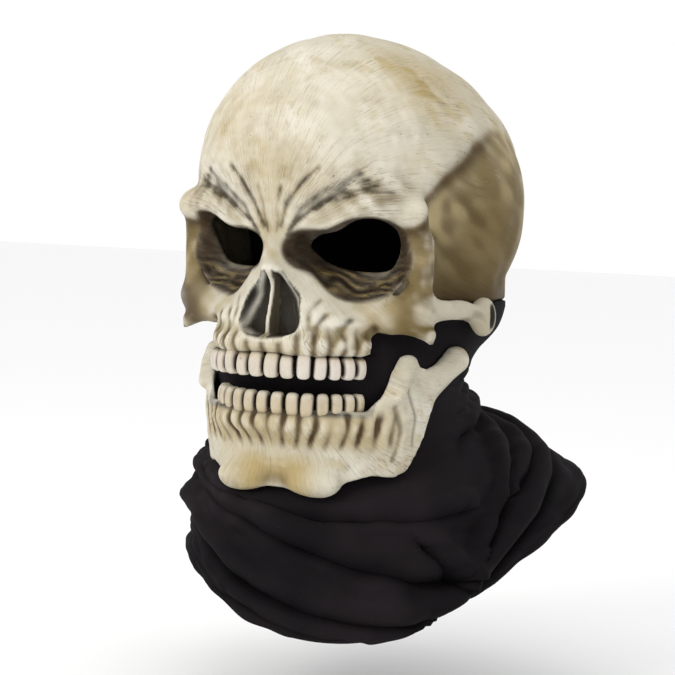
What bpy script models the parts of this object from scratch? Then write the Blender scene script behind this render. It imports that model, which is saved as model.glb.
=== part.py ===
"""A pull-on skull mask: latex skull and jaw, two rows of teeth, and a black fabric hood with a cowl.

Metres. +Z is up, the face looks along -Y, and the origin is the inside of the crown, where a head carries it.
Places in the tables are shares of three driving sizes: x of the half width, y of the half length (the face
is negative), and drop of the height, counted down from a level just above the crown.
"""

import math

import bmesh
import bpy
import numpy as np

# Driving sizes
SKULL_WIDTH = 0.164
SKULL_LENGTH = 0.204
SKULL_HEIGHT = 0.238
LATEX_WALL = 0.003
MUZZLE_WALL = 0.0040
JAW_WALL = 0.0034
SEPTUM = 0.0024
FABRIC_WALL = 0.0018
SEAT_GAP = 0.0004
FABRIC_GAP = 0.0007
JAW_GAP = 0.0015
COWL_DROP = 0.066
COWL_RADIUS = 0.120
RIM_RADIUS = 0.0065
GUM_RADIUS = 0.0042
TOOTH_HEIGHT = 0.0125
TOOTH_THICKNESS = 0.0068
TEETH_PER_SIDE = 7
# Half breadth of a tooth as a share of its place on the arch, how square it is, and how far it melts into the next
TOOTH_BREADTH = 0.56
TOOTH_SQUARENESS = 3.0
TOOTH_ROUNDNESS = 2.4
TOOTH_BLEND = 0.0008

# Fineness of the meshes
LATEX_STEP = 0.0016
JAW_STEP = 0.0015
TEETH_STEP = 0.0009
SKULL_TRIANGLES = 5400
JAW_TRIANGLES = 1900
TEETH_TRIANGLES = 700
HOOD_COLUMNS = 44

HALF_WIDTH = SKULL_WIDTH / 2
HALF_LENGTH = SKULL_LENGTH / 2
CROWN_DROP = 0.0188
LEVEL_TOP = LATEX_WALL + CROWN_DROP * SKULL_HEIGHT

# How far neighbouring masses melt into each other
VAULT_BLEND = 0.016
TEMPLE_BLEND = 0.020
MASS_BLEND = 0.010
SOFT_BLEND = 0.006
EDGE_BLEND = 0.004
SHARP_BLEND = 0.002

# Rounded masses of the cranium: centre x, y, drop, then radii as shares of the same three sizes
CRANIUM = (
    ("vault", 0.00, 0.10, 0.381, 0.99, 0.86, 0.336),
    ("forehead", 0.00, -0.22, 0.322, 0.90, 0.77, 0.308),
)
TEMPLE = ("temple", 1.20, -0.36, 0.475, 0.42, 0.42, 0.170)

# Height at which the latex ends round the sides and back
LATEX_HEM_DROP = 0.588
STRAIGHT_DROP = 0.530

# Middle column of the face, brow to upper gum: drop, half width, front reach, middle
MUZZLE = (
    ("brow", 0.370, 0.12, 0.83, -0.58),
    ("bridge", 0.455, 0.11, 0.89, -0.60),
    ("nose", 0.530, 0.22, 0.93, -0.62),
    ("cheek root", 0.575, 0.36, 0.945, -0.64),
    ("under the nose", 0.625, 0.52, 0.975, -0.65),
    ("gum", 0.690, 0.52, 0.985, -0.66),
)
MUZZLE_END_DROP = 0.692
MUZZLE_TOP_DROP = 0.36
MUZZLE_BACK = 0.002
GUM_LAP = 0.0005

# Room for the wearer's face behind the castings: drop, half width, front reach, back reach
FACE_ROOM = (
    ("forehead", 0.36, 0.77, 0.84, 0.55),
    ("eyes", 0.46, 0.76, 0.74, 0.55),
    ("cheeks", 0.57, 0.72, 0.71, 0.55),
    ("mouth", 0.80, 0.71, 0.71, 0.55),
)

# Bone rims as chains of stations: x, y, drop, radius as a share of the rim radius
BROW = (
    (0.05, -0.80, 0.464, 0.75),
    (0.16, -0.84, 0.443, 0.90),
    (0.36, -0.825, 0.408, 0.95),
    (0.58, -0.765, 0.386, 0.95),
    (0.76, -0.66, 0.392, 0.95),
)
OUTER_RIM = (
    (0.77, -0.65, 0.396, 0.95),
    (0.81, -0.595, 0.450, 0.90),
    (0.80, -0.585, 0.525, 1.05),
    (0.77, -0.59, 0.585, 1.25),
)
LOWER_RIM = (
    (0.77, -0.59, 0.590, 1.25),
    (0.62, -0.62, 0.607, 1.25),
    (0.46, -0.655, 0.612, 1.10),
    (0.30, -0.72, 0.595, 0.95),
    (0.17, -0.79, 0.548, 0.85),
    (0.11, -0.83, 0.500, 0.80),
)
CHEEK_HOOK = (
    (0.60, -0.60, 0.612, 1.05),
    (0.76, -0.585, 0.622, 1.10),
    (0.85, -0.575, 0.645, 0.75),
    (0.875, -0.585, 0.664, 0.40),
)
ARCH = (
    (0.80, -0.58, 0.592, 1.10),
    (0.90, -0.47, 0.592, 0.95),
    (0.935, -0.32, 0.595, 0.90),
    (0.935, -0.17, 0.607, 1.00),
)
NOSE_BRIDGE = (
    (0.00, -0.80, 0.415, 1.00),
    (0.00, -0.855, 0.465, 1.00),
    (0.00, -0.925, 0.517, 0.65),
)
NOSE_RIM = (
    (0.00, -0.940, 0.520, 0.45),
    (0.08, -0.925, 0.550, 0.45),
    (0.16, -0.895, 0.600, 0.48),
    (0.19, -0.885, 0.640, 0.50),
    (0.11, -0.930, 0.655, 0.50),
    (0.02, -0.975, 0.668, 0.50),
)

RIMS = (
    (BROW, 0.008),
    (OUTER_RIM, 0.008),
    (LOWER_RIM, 0.008),
    (NOSE_BRIDGE, 0.008),
    (CHEEK_HOOK, 0.005),
    (NOSE_RIM, 0.003),
    (ARCH, 0.005),
)

# Hollows: each mass with a centre and radii
SOCKET = (
    ("inner corner", 0.22, -0.80, 0.474, 0.165, 0.20, 0.040),
    ("main hollow", 0.485, -0.745, 0.487, 0.285, 0.185, 0.086),
)
# Eye opening: x, drop, then radii
EYE_HOLE = (0.415, 0.452, 0.350, 0.067)
EYE_HOLE_END = -0.50
LID_MARGIN = 0.0015
# Front of the socket wall: x, y
SOCKET_LIP = (
    (0.10, -0.78),
    (0.45, -0.70),
    (0.80, -0.645),
)
NOSTRIL = (
    (0.045, -0.935, 0.538, 0.50),
    (0.090, -0.905, 0.585, 1.05),
    (0.105, -0.930, 0.626, 1.15),
)
EAR_KNOB = ("knob", 0.935, -0.105, 0.612, 0.095, 0.105, 0.048)
EAR_HOLE = ("hole", 1.02, -0.090, 0.610, 0.060, 0.042, 0.028)

# Dental arches: drop of the biting edge, drop of the gum, half width, front reach, middle
UPPER_ARCH = {"edge": 0.741, "gum": 0.690, "width": 0.50, "front": 0.975, "middle": -0.665}
LOWER_ARCH = {"edge": 0.772, "gum": 0.818, "width": 0.475, "front": 0.900, "middle": -0.635}
ARCH_TURN = math.radians(82)
GUM_SHIFT = 0.020

# Lower jaw, seen from above at each drop: half width, front reach, middle
JAW = (
    ("condyle", 0.692, 0.810, 0.920, -0.15),
    ("ramus", 0.755, 0.790, 0.905, -0.26),
    ("gum line", 0.818, 0.760, 0.900, -0.38),
    ("body", 0.880, 0.745, 0.872, -0.39),
    ("border", 0.945, 0.715, 0.848, -0.38),
    ("below", 1.000, 0.700, 0.845, -0.37),
)
# Its outline from the side: y, drop
JAW_OUTLINE = (
    (-1.10, 0.806),
    (-0.80, 0.806),
    (-0.72, 0.806),
    (-0.66, 0.775),
    (-0.61, 0.730),
    (-0.56, 0.696),
    (-0.50, 0.695),
    (-0.46, 0.714),
    (-0.41, 0.720),
    (-0.32, 0.712),
    (-0.21, 0.684),
    (-0.13, 0.688),
    (-0.14, 0.722),
    (-0.26, 0.758),
    (-0.33, 0.792),
    (-0.37, 0.830),
    (-0.44, 0.895),
    (-0.50, 0.938),
    (-0.57, 0.950),
    (-0.66, 0.945),
    (-0.75, 0.962),
    (-0.82, 0.980),
    (-1.10, 0.972),
)
CHIN_BUMP = ("bump", 0.265, -0.810, 0.960, 0.150, 0.055, 0.030)
CONDYLE = (
    (0.755, -0.38, 0.757, 0.80),
    (0.785, -0.27, 0.730, 0.85),
    (0.800, -0.17, 0.706, 1.05),
)
CORONOID = (
    (0.68, -0.62, 0.775, 0.55),
    (0.69, -0.57, 0.735, 0.65),
    (0.69, -0.53, 0.708, 0.60),
)
JAW_SLOPE = (
    (0.00, -0.850, 0.855, 0.75),
    (0.28, -0.790, 0.855, 0.75),
    (0.46, -0.700, 0.850, 0.80),
    (0.54, -0.610, 0.840, 0.80),
    (0.62, -0.560, 0.825, 0.70),
)

# Hood above the chin: drop in front, drop behind, then reach at 0, 45, 90, 135 and 180 degrees from the face,
# each as a share of the half width or half length, round a standing axis
HOOD_AXIS = -0.10
HOOD_ROWS = (
    ("upper edge", 0.360, 0.360, 0.68, 0.78, 0.90, 0.96, 0.96),
    ("brow", 0.398, 0.398, 0.68, 0.79, 0.91, 0.98, 0.99),
    ("eyes", 0.462, 0.462, 0.66, 0.79, 0.92, 0.99, 1.00),
    ("under the eyes", 0.530, 0.530, 0.66, 0.77, 0.90, 0.98, 1.00),
    ("nose", 0.582, 0.582, 0.67, 0.69, 0.85, 0.95, 0.96),
    ("ear", 0.635, 0.640, 0.68, 0.67, 0.80, 0.90, 0.89),
    ("lip", 0.690, 0.690, 0.68, 0.72, 0.71, 0.78, 0.76),
    ("bite", 0.735, 0.735, 0.68, 0.73, 0.68, 0.67, 0.62),
    ("lower lip", 0.780, 0.765, 0.66, 0.70, 0.69, 0.65, 0.60),
    ("jaw", 0.830, 0.785, 0.66, 0.69, 0.72, 0.70, 0.64),
    ("jaw border", 0.890, 0.810, 0.67, 0.69, 0.75, 0.80, 0.70),
    ("under the jaw", 0.960, 0.830, 0.64, 0.68, 0.77, 0.88, 0.76),
)
# Cowl below the chin: drop as shares of the cowl's own drop in front and behind, then reach at the same angles
# as shares of the cowl's radius
COWL_TOP_DROP = 1.020
COWL_REAR_DROP = 0.845
COWL_REAR_SHARE = 0.22
COWL_ROWS = (
    ("under the chin", 0.00, 0.00, 0.60, 0.62, 0.66, 0.70, 0.66),
    ("first fold", 0.16, 0.20, 0.67, 0.68, 0.71, 0.76, 0.70),
    ("first hollow", 0.33, 0.36, 0.67, 0.68, 0.72, 0.82, 0.74),
    ("second fold", 0.51, 0.58, 0.71, 0.71, 0.75, 0.91, 0.80),
    ("second hollow", 0.68, 0.74, 0.71, 0.71, 0.77, 0.99, 0.86),
    ("third fold", 0.85, 0.90, 0.75, 0.73, 0.79, 1.07, 0.92),
    ("hem", 1.00, 1.00, 0.76, 0.73, 0.80, 1.10, 0.95),
)
# The hood's one wide eye opening: drop of its middle, half width, half height
EYE_WINDOW = (0.464, 0.86, 0.075)

BONE = ((0.80, 0.76, 0.62), 0.55)
ENAMEL = ((0.86, 0.79, 0.70), 0.35)
JERSEY = ((0.012, 0.010, 0.011), 0.95)


def clear_scene():
    for item in list(bpy.data.objects):
        bpy.data.objects.remove(item, do_unlink=True)


def material(name, look):
    colour, roughness = look
    made = bpy.data.materials.new(name)
    made.use_nodes = True
    shader = made.node_tree.nodes["Principled BSDF"]
    shader.inputs["Base Color"].default_value = (*colour, 1.0)
    shader.inputs["Roughness"].default_value = roughness
    shader.inputs["Metallic"].default_value = 0.0
    made.diffuse_color = (*colour, 1.0)
    return made


def height_at(drop):
    return LEVEL_TOP - drop * SKULL_HEIGHT


def place(x, y, drop):
    return x * HALF_WIDTH, y * HALF_LENGTH, height_at(drop)


# Fields: the distance of each point from a form, negative inside it


def blend_union(first, second, reach):
    share = np.clip(0.5 + 0.5 * (second - first) / reach, 0.0, 1.0)
    return second * (1 - share) + first * share - reach * share * (1 - share)


def blend_cut(first, cutter, reach):
    return -blend_union(-first, cutter, reach)


def ellipsoid(points, row, grow=0.0):
    _, x, y, drop, rx, ry, rz = row
    centre = place(x, y, drop)
    radii = (rx * HALF_WIDTH + grow, ry * HALF_LENGTH + grow, rz * SKULL_HEIGHT + grow)
    parts = [(p - c) / r for p, c, r in zip(points, centre, radii)]
    size = np.sqrt(sum(p * p for p in parts))
    slope = np.sqrt(sum((p / r) ** 2 for p, r in zip(parts, radii)))
    return size * (size - 1) / np.maximum(slope, 1e-6)


def limb(points, stations, unit, grow=0.0):
    """A chain of tapering round rods through stations of x, y, drop and a share of the unit radius."""
    best = None
    for start, end in zip(stations, stations[1:]):
        a = place(*start[:3])
        b = place(*end[:3])
        run = [q - p for p, q in zip(a, b)]
        length = sum(r * r for r in run)
        along = np.clip(sum((p - q) * r for p, q, r in zip(points, a, run)) / length, 0, 1)
        gap = np.sqrt(sum((p - q - along * r) ** 2 for p, q, r in zip(points, a, run)))
        radius = unit * (start[3] + (end[3] - start[3]) * along) + grow
        best = gap - radius if best is None else np.minimum(best, gap - radius)
    return best


def column(points, rows, back=None):
    """A standing form whose level sections are ovals: rows of drop, half width, front reach and middle or back."""
    x, y, z = points
    drops = [row[1] for row in rows]
    drop = (LEVEL_TOP - z) / SKULL_HEIGHT
    wide = np.interp(drop, drops, [row[2] for row in rows]) * HALF_WIDTH
    if back is None:
        middle = np.interp(drop, drops, [row[4] for row in rows]) * HALF_LENGTH
        ahead = np.interp(drop, drops, [row[3] for row in rows]) * HALF_LENGTH + middle
        behind = ahead
    else:
        middle = 0.0
        ahead = np.interp(drop, drops, [row[3] for row in rows]) * HALF_LENGTH
        behind = np.interp(drop, drops, [row[4] for row in rows]) * HALF_LENGTH
    deep = np.where(y < middle, ahead, behind)
    across = x / wide
    along = (y - middle) / deep
    size = np.sqrt(across**2 + along**2)
    slope = np.sqrt((across / wide) ** 2 + (along / deep) ** 2)
    return size * (size - 1) / np.maximum(slope, 1e-6)


def outline(points, corners):
    """Distance from a side-view outline of y and drop corners, drawn straight through the width."""
    _, y, z = points
    shape = [(cy * HALF_LENGTH, height_at(drop)) for cy, drop in corners]
    best = np.full(y.shape, 1.0)
    inside = np.zeros(y.shape, bool)
    for (ay, az), (by, bz) in zip(shape, shape[1:] + shape[:1]):
        ry, rz = by - ay, bz - az
        along = np.clip(((y - ay) * ry + (z - az) * rz) / (ry * ry + rz * rz), 0, 1)
        best = np.minimum(best, np.hypot(y - ay - along * ry, z - az - along * rz))
        crossing = ((az <= z) != (bz <= z)) & (y < ay + (z - az) / (rz if rz else 1e-9) * ry)
        inside ^= crossing
    return np.where(inside, -best, best)


def arch_station(arch, turn):
    """A point on a dental arch, by its turn from the front."""
    middle = arch["middle"]
    deep = arch["front"] + middle
    return arch["width"] * math.sin(turn), middle - deep * math.cos(turn)


def gum_chain(arch, away):
    steps = 8
    turns = [ARCH_TURN * i / steps for i in range(steps + 1)]
    return [(*arch_station(arch, turn), arch["gum"] + away, 1.0) for turn in turns]


def cranium(points, grow=0.0):
    """The braincase, whose walls run straight down below the level of the ears."""
    x, y, z = points
    straight = (x, y, np.maximum(z, height_at(STRAIGHT_DROP)))
    first, second = (ellipsoid(straight, row, grow) for row in CRANIUM)
    vault = blend_union(first, second, VAULT_BLEND)
    return blend_cut(vault, ellipsoid(straight, TEMPLE, -grow), TEMPLE_BLEND)


def sockets(points, grow=0.0):
    inner, main = (ellipsoid(points, row, grow) for row in SOCKET)
    return blend_union(inner, main, SOFT_BLEND)


def eye_hole(points):
    x, _, z = points
    cx, drop, rx, rz = EYE_HOLE
    size = np.hypot((x - cx * HALF_WIDTH) / (rx * HALF_WIDTH), (z - height_at(drop)) / (rz * SKULL_HEIGHT))
    lids = (size - 1) * min(rx * HALF_WIDTH, rz * SKULL_HEIGHT)
    flat = (x, np.full(x.shape, SOCKET[1][2] * HALF_LENGTH), z)
    window = np.maximum(lids, sockets(flat) + LID_MARGIN)
    beyond = points[1] - EYE_HOLE_END * HALF_LENGTH
    return np.maximum(window, beyond)


def skull(points):
    """The skull casting: bone masses cut level at its hem, hollowed to an even wall, open below and at the eyes."""
    z = points[2]
    gums = limb(points, gum_chain(UPPER_ARCH, -GUM_SHIFT), GUM_RADIUS)
    muzzle = np.maximum(column(points, MUZZLE), z - height_at(MUZZLE_TOP_DROP))
    muzzle = np.maximum(muzzle, points[1] - UPPER_ARCH["middle"] * HALF_LENGTH - MUZZLE_BACK)
    closed = cranium(points)
    whole = np.maximum(closed, height_at(LATEX_HEM_DROP) - z)
    cut = np.maximum(muzzle, height_at(MUZZLE_END_DROP) - z)
    closed = blend_union(closed, muzzle, MASS_BLEND)
    whole = blend_union(whole, blend_union(cut, gums, EDGE_BLEND), MASS_BLEND)
    rims = [(limb(points, chain, RIM_RADIUS), reach) for chain, reach in RIMS]
    rims.append((ellipsoid(points, EAR_KNOB), EDGE_BLEND))
    for rim, reach in rims:
        closed = blend_union(closed, rim, reach)
        whole = blend_union(whole, rim, reach)
    hollow = sockets(points)
    lip_x = [x * HALF_WIDTH for x, _ in SOCKET_LIP]
    lip_y = [y * HALF_LENGTH for _, y in SOCKET_LIP]
    cup = np.maximum(hollow - LATEX_WALL, np.interp(points[0], lip_x, lip_y) - points[1])
    closed = np.minimum(closed, cup)
    whole = blend_union(whole, cup, SHARP_BLEND)
    nostril = np.maximum(limb(points, NOSTRIL, RIM_RADIUS), SEPTUM / 2 - points[0])
    whole = blend_cut(whole, hollow, EDGE_BLEND)
    whole = blend_cut(whole, nostril, SHARP_BLEND)
    whole = blend_cut(whole, ellipsoid(points, EAR_HOLE), SHARP_BLEND)
    room = blend_union(cranium(points, -LATEX_WALL), column(points, FACE_ROOM, back=True), SOFT_BLEND)
    room = blend_union(room, column(points, MUZZLE) + MUZZLE_WALL, EDGE_BLEND)
    room = np.maximum(room, closed + LATEX_WALL)
    room = np.maximum(room, LATEX_WALL - np.minimum(hollow, nostril))
    room = np.maximum(room, -gums - GUM_LAP)
    whole = np.maximum(whole, -room)
    opening = np.maximum(eye_hole(points), np.minimum(hollow, closed + LATEX_WALL))
    return np.maximum(whole, -opening)


def jaw(points):
    """The jaw casting: a wall following the face, cut to its side outline, with its horns, slope, gums and chin."""
    face = column(points, JAW)
    wall = np.maximum(face, -(face + JAW_WALL))
    form = blend_cut(wall, -outline(points, JAW_OUTLINE), SHARP_BLEND)
    form = blend_union(form, limb(points, CONDYLE, RIM_RADIUS), EDGE_BLEND)
    form = blend_union(form, limb(points, CORONOID, RIM_RADIUS), EDGE_BLEND)
    form = blend_union(form, limb(points, JAW_SLOPE, RIM_RADIUS), SOFT_BLEND)
    form = blend_union(form, limb(points, gum_chain(LOWER_ARCH, GUM_SHIFT), GUM_RADIUS), SOFT_BLEND)
    return blend_union(form, ellipsoid(points, CHIN_BUMP), SOFT_BLEND)


def teeth(points, arch, carrier):
    """A row of rounded teeth, each a pillow on the arch, cut clear of the gum that carries it."""
    x, y, z = points
    form = None
    root = arch["gum"] * SKULL_HEIGHT
    edge = arch["edge"] * SKULL_HEIGHT
    side = 1 if edge > root else -1
    tall = TOOTH_HEIGHT / 2
    middle = LEVEL_TOP - edge + side * tall
    for i in range(TEETH_PER_SIDE):
        turn = ARCH_TURN * (i + 0.5) / TEETH_PER_SIDE
        near, far = (arch_station(arch, turn + s * ARCH_TURN / 2 / TEETH_PER_SIDE) for s in (-1, 1))
        cx, cy = (value * size for value, size in zip(arch_station(arch, turn), (HALF_WIDTH, HALF_LENGTH)))
        tx, ty = (far[0] - near[0]) * HALF_WIDTH, (far[1] - near[1]) * HALF_LENGTH
        wide = math.hypot(tx, ty)
        tx, ty = tx / wide, ty / wide
        along = ((x - cx) * tx + (y - cy) * ty) / (wide * TOOTH_BREADTH)
        across = ((x - cx) * ty - (y - cy) * tx) / (TOOTH_THICKNESS / 2)
        up = (z - middle) / tall
        square = np.abs(along) ** TOOTH_SQUARENESS + np.abs(up) ** TOOTH_SQUARENESS
        size = (square + np.abs(across) ** TOOTH_ROUNDNESS) ** (1 / TOOTH_SQUARENESS)
        tooth = (size - 1) * TOOTH_THICKNESS / 2
        form = tooth if form is None else blend_union(form, tooth, TOOTH_BLEND)
    return np.maximum(form, SEAT_GAP - carrier(points))


def softened(values):
    """Each sample averaged with its neighbours, which rounds edges finer than the grid can hold."""
    for axis in range(3):
        padded = np.pad(values, [(1, 1) if k == axis else (0, 0) for k in range(3)], mode="edge")
        lower, upper = (np.take(padded, range(s, s + values.shape[axis]), axis) for s in (0, 2))
        values = (lower + 2 * values + upper) / 4
    return values


def surface_of(name, field, low, high, step):
    """A closed mesh on the zero level of a field that is even in x: one point a cell, one quad a crossing."""
    half = int(math.ceil(high[0] / step)) + 2
    xs = (np.arange(half) + 0.5) * step
    ys = np.arange(low[1] - 2 * step, high[1] + 3 * step, step)
    zs = np.arange(low[2] - 2 * step, high[2] + 3 * step, step)
    values = field(np.meshgrid(xs, ys, zs, indexing="ij"))
    values = softened(np.concatenate((values[::-1], values)))
    xs = np.concatenate((-xs[::-1], xs))
    outermost = np.ones(values.shape, bool)
    outermost[1:-1, 1:-1, 1:-1] = False
    values[outermost] = np.maximum(values[outermost], step)
    total = np.zeros(tuple(n - 1 for n in values.shape) + (3,))
    count = np.zeros(total.shape[:3])
    axes = (xs, ys, zs)
    crossings = []
    for axis in range(3):
        low_end = [slice(None)] * 3
        high_end = [slice(None)] * 3
        low_end[axis] = slice(0, -1)
        high_end[axis] = slice(1, None)
        first, second = values[tuple(low_end)], values[tuple(high_end)]
        where = np.argwhere((first < 0) != (second < 0))
        keep = np.all((where > 0) | (np.arange(3) == axis), axis=1)
        where = where[keep]
        index = tuple(where.T)
        share = first[index] / (first[index] - second[index])
        spot = np.stack([axes[k][where[:, k]] for k in range(3)], 1)
        spot[:, axis] += share * step
        others = [k for k in range(3) if k != axis]
        corners = []
        for da, db in ((0, 0), (1, 0), (1, 1), (0, 1)):
            cell = where.copy()
            cell[:, others[0]] -= da
            cell[:, others[1]] -= db
            corners.append(cell)
            np.add.at(total, tuple(cell.T), spot)
            np.add.at(count, tuple(cell.T), 1)
        flip = (first[index] < 0) ^ (axis == 1)
        crossings.append((corners, flip))
    used = count > 0
    number = np.full(count.shape, -1)
    number[used] = np.arange(used.sum())
    spots = total[used] / count[used][:, None]
    faces = []
    for corners, flip in crossings:
        quads = np.stack([number[tuple(cell.T)] for cell in corners], 1)
        quads[flip] = quads[flip][:, ::-1]
        faces.append(quads)
    mesh = bpy.data.meshes.new(name)
    mesh.from_pydata(spots, [], np.concatenate(faces).tolist())
    mesh.update()
    return mesh


def keep_largest(mesh):
    """Drops crumbs that a thin edge leaves beside the body, and sets the normals outwards."""
    work = bmesh.new()
    work.from_mesh(mesh)
    work.verts.ensure_lookup_table()
    seen = set()
    groups = []
    for seed in work.verts:
        if seed in seen:
            continue
        group = [seed]
        seen.add(seed)
        for vert in group:
            for edge in vert.link_edges:
                other = edge.other_vert(vert)
                if other not in seen:
                    seen.add(other)
                    group.append(other)
        groups.append(group)
    groups.sort(key=len)
    for group in groups[:-1]:
        bmesh.ops.delete(work, geom=group, context="VERTS")
    bmesh.ops.recalc_face_normals(work, faces=work.faces)
    work.to_mesh(mesh)
    work.free()


def add_object(name, mesh, look):
    item = bpy.data.objects.new(name, mesh)
    bpy.context.scene.collection.objects.link(item)
    mesh.materials.append(look)
    return item


def cast(name, field, low, high, step, triangles, look):
    """A piece meshed from its field and thinned to its share of triangles."""
    mesh = surface_of(name, field, low, high, step)
    keep_largest(mesh)
    mesh.shade_smooth()
    item = add_object(name, mesh, look)
    even = item.modifiers.new("Even", "REMESH")
    even.mode = "VOXEL"
    even.voxel_size = step
    even.use_smooth_shade = True
    graph = bpy.context.evaluated_depsgraph_get()
    count = len(item.evaluated_get(graph).data.polygons)
    thin = item.modifiers.new("Thin", "DECIMATE")
    thin.ratio = triangles / (2 * count)
    return item


def box_of(drop_low, drop_high, front, back, wide=1.12):
    low = (0.0, front * HALF_LENGTH, height_at(drop_low))
    high = (wide * HALF_WIDTH, back * HALF_LENGTH, height_at(drop_high))
    return low, high


def reach_at(shares, turn):
    """Smooth even curve through the reaches at 0, 45, 90, 135 and 180 degrees."""
    quarter = math.pi / 4
    knots = np.array(shares)
    count = len(knots) - 1
    waves = np.array([[math.cos(k * quarter * n) for n in range(count + 1)] for k in range(count + 1)])
    weights = np.linalg.solve(waves, knots)
    return sum(w * math.cos(n * turn) for n, w in enumerate(weights))


def hood_rings():
    """Rings of points from the upper edge to the hem, kept just inside the latex pieces."""
    rings = []
    for row in HOOD_ROWS:
        ring = []
        for j in range(HOOD_COLUMNS):
            turn = 2 * math.pi * j / HOOD_COLUMNS
            reach = reach_at(row[3:], turn)
            drop = row[1] + (row[2] - row[1]) * (1 - math.cos(turn)) / 2
            x = reach * HALF_WIDTH * math.sin(turn)
            y = HOOD_AXIS * HALF_LENGTH - reach * HALF_LENGTH * math.cos(turn)
            ring.append((x, y, height_at(drop)))
        rings.append(ring)
    for row in COWL_ROWS:
        ring = []
        for j in range(HOOD_COLUMNS):
            turn = 2 * math.pi * j / HOOD_COLUMNS
            reach = reach_at(row[3:], turn) * COWL_RADIUS
            front = height_at(COWL_TOP_DROP) - row[1] * COWL_DROP
            rear = height_at(COWL_REAR_DROP) - row[2] * COWL_DROP * COWL_REAR_SHARE
            z = front + (rear - front) * (1 - math.cos(turn)) / 2
            ring.append((reach * math.sin(turn), HOOD_AXIS * HALF_LENGTH - reach * math.cos(turn), z))
        rings.append(ring)
    return np.array(rings)


def latex(points):
    """Distance from the nearest casting or tooth, on either side of the middle, with the jaw's own gap taken off."""
    even = (np.abs(points[0]), points[1], points[2])
    lower = np.minimum(jaw(even), teeth(even, LOWER_ARCH, jaw)) - JAW_GAP
    return np.minimum(np.minimum(skull(even), teeth(even, UPPER_ARCH, skull)), lower)


def drawn_inside(rings):
    """Each point pulled towards the axis until it is clear of what stands outside it."""
    axis = np.array((0.0, HOOD_AXIS * HALF_LENGTH))
    arms = rings[..., :2] - axis
    steps = np.linspace(0.35, 1.0, 131)
    spots = axis + arms[..., None, :] * steps[:, None]
    heights = np.broadcast_to(rings[..., 2][..., None], spots.shape[:-1])
    clear = latex((spots[..., 0], spots[..., 1], heights)) > FABRIC_GAP
    blocked = ~clear
    first = np.where(blocked.any(axis=-1), np.argmax(blocked, axis=-1), len(steps))
    share = steps[np.maximum(first - 1, 0)]
    fitted = rings.copy()
    fitted[..., :2] = axis + arms * share[..., None]
    return fitted


def neck_hood(look):
    rings = hood_rings()
    rings[: len(HOOD_ROWS)] = drawn_inside(rings[: len(HOOD_ROWS)])
    work = bmesh.new()
    grid = [[work.verts.new(spot) for spot in ring] for ring in rings]
    drop, rx, rz = EYE_WINDOW
    for upper, lower in zip(grid, grid[1:]):
        for j in range(HOOD_COLUMNS):
            k = (j + 1) % HOOD_COLUMNS
            corners = (upper[j], lower[j], lower[k], upper[k])
            x = sum(v.co.x for v in corners) / 4
            y = sum(v.co.y for v in corners) / 4
            z = sum(v.co.z for v in corners) / 4
            across = x / (rx * HALF_WIDTH)
            up = (z - height_at(drop)) / (rz * SKULL_HEIGHT)
            if y < 0 and across**4 + up**4 < 1:
                continue
            work.faces.new(corners)
    loose = [v for v in work.verts if not v.link_faces]
    bmesh.ops.delete(work, geom=loose, context="VERTS")
    bmesh.ops.recalc_face_normals(work, faces=work.faces)
    mesh = bpy.data.meshes.new("neck_hood")
    work.to_mesh(mesh)
    work.free()
    mesh.shade_smooth()
    item = add_object("neck_hood", mesh, look)
    cloth = item.modifiers.new("Cloth wall", "SOLIDIFY")
    cloth.thickness = FABRIC_WALL
    cloth.offset = -1.0
    cloth.use_rim = True
    return item


def main():
    clear_scene()
    bone = material("bone_latex", BONE)
    jaw_bone = material("jaw_latex", BONE)
    enamel = material("upper_enamel", ENAMEL)
    lower_enamel = material("lower_enamel", ENAMEL)
    jersey = material("black_jersey", JERSEY)
    skull_box = box_of(0.72, -0.01, -1.04, 1.02)
    jaw_box = box_of(1.01, 0.66, -1.0, 0.02, wide=0.95)
    cast("skull_shell", skull, *skull_box, LATEX_STEP, SKULL_TRIANGLES, bone)
    cast("jaw_shell", jaw, *jaw_box, JAW_STEP, JAW_TRIANGLES, jaw_bone)
    upper_box = box_of(0.76, 0.66, -1.04, -0.5, wide=0.62)
    lower_box = box_of(0.84, 0.76, -1.0, -0.5, wide=0.62)
    cast("upper_teeth", lambda p: teeth(p, UPPER_ARCH, skull), *upper_box, TEETH_STEP, TEETH_TRIANGLES, enamel)
    cast("lower_teeth", lambda p: teeth(p, LOWER_ARCH, jaw), *lower_box, TEETH_STEP, TEETH_TRIANGLES, lower_enamel)
    neck_hood(jersey)


main()
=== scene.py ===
"""Dresses the skull mask: carved latex castings, separate teeth, a draped jersey hood, light and camera.

Metres, in the part's frame. Places are shares of three sizes: x of the half width, y of the half length
(the face is negative), and drop of the height, counted down from a level just above the crown.
"""

import math

import bmesh
import bpy
import numpy as np
from mathutils import Matrix, Vector


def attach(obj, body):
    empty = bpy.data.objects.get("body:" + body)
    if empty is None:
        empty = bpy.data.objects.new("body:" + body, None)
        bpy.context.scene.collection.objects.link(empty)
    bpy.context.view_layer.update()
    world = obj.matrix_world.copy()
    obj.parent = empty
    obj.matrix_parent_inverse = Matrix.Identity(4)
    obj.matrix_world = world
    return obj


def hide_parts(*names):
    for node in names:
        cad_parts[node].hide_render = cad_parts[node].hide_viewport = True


SKULL_WIDTH = 0.164
SKULL_LENGTH = 0.204
SKULL_HEIGHT = 0.238
LATEX_WALL = 0.003
MUZZLE_WALL = 0.0040
JAW_WALL = 0.0034
SEPTUM = 0.0024
WALL_SPARE = 0.0005
FABRIC_WALL = 0.0018
HOOD_CLEARANCE = 0.0016
COWL_DROP = 0.066
COWL_RADIUS = 0.120
RIM_RADIUS = 0.0065
GUM_RADIUS = 0.0042
TOOTH_HEIGHT = 0.0125
TOOTH_THICKNESS = 0.0068
TEETH_PER_SIDE = 7
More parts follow.
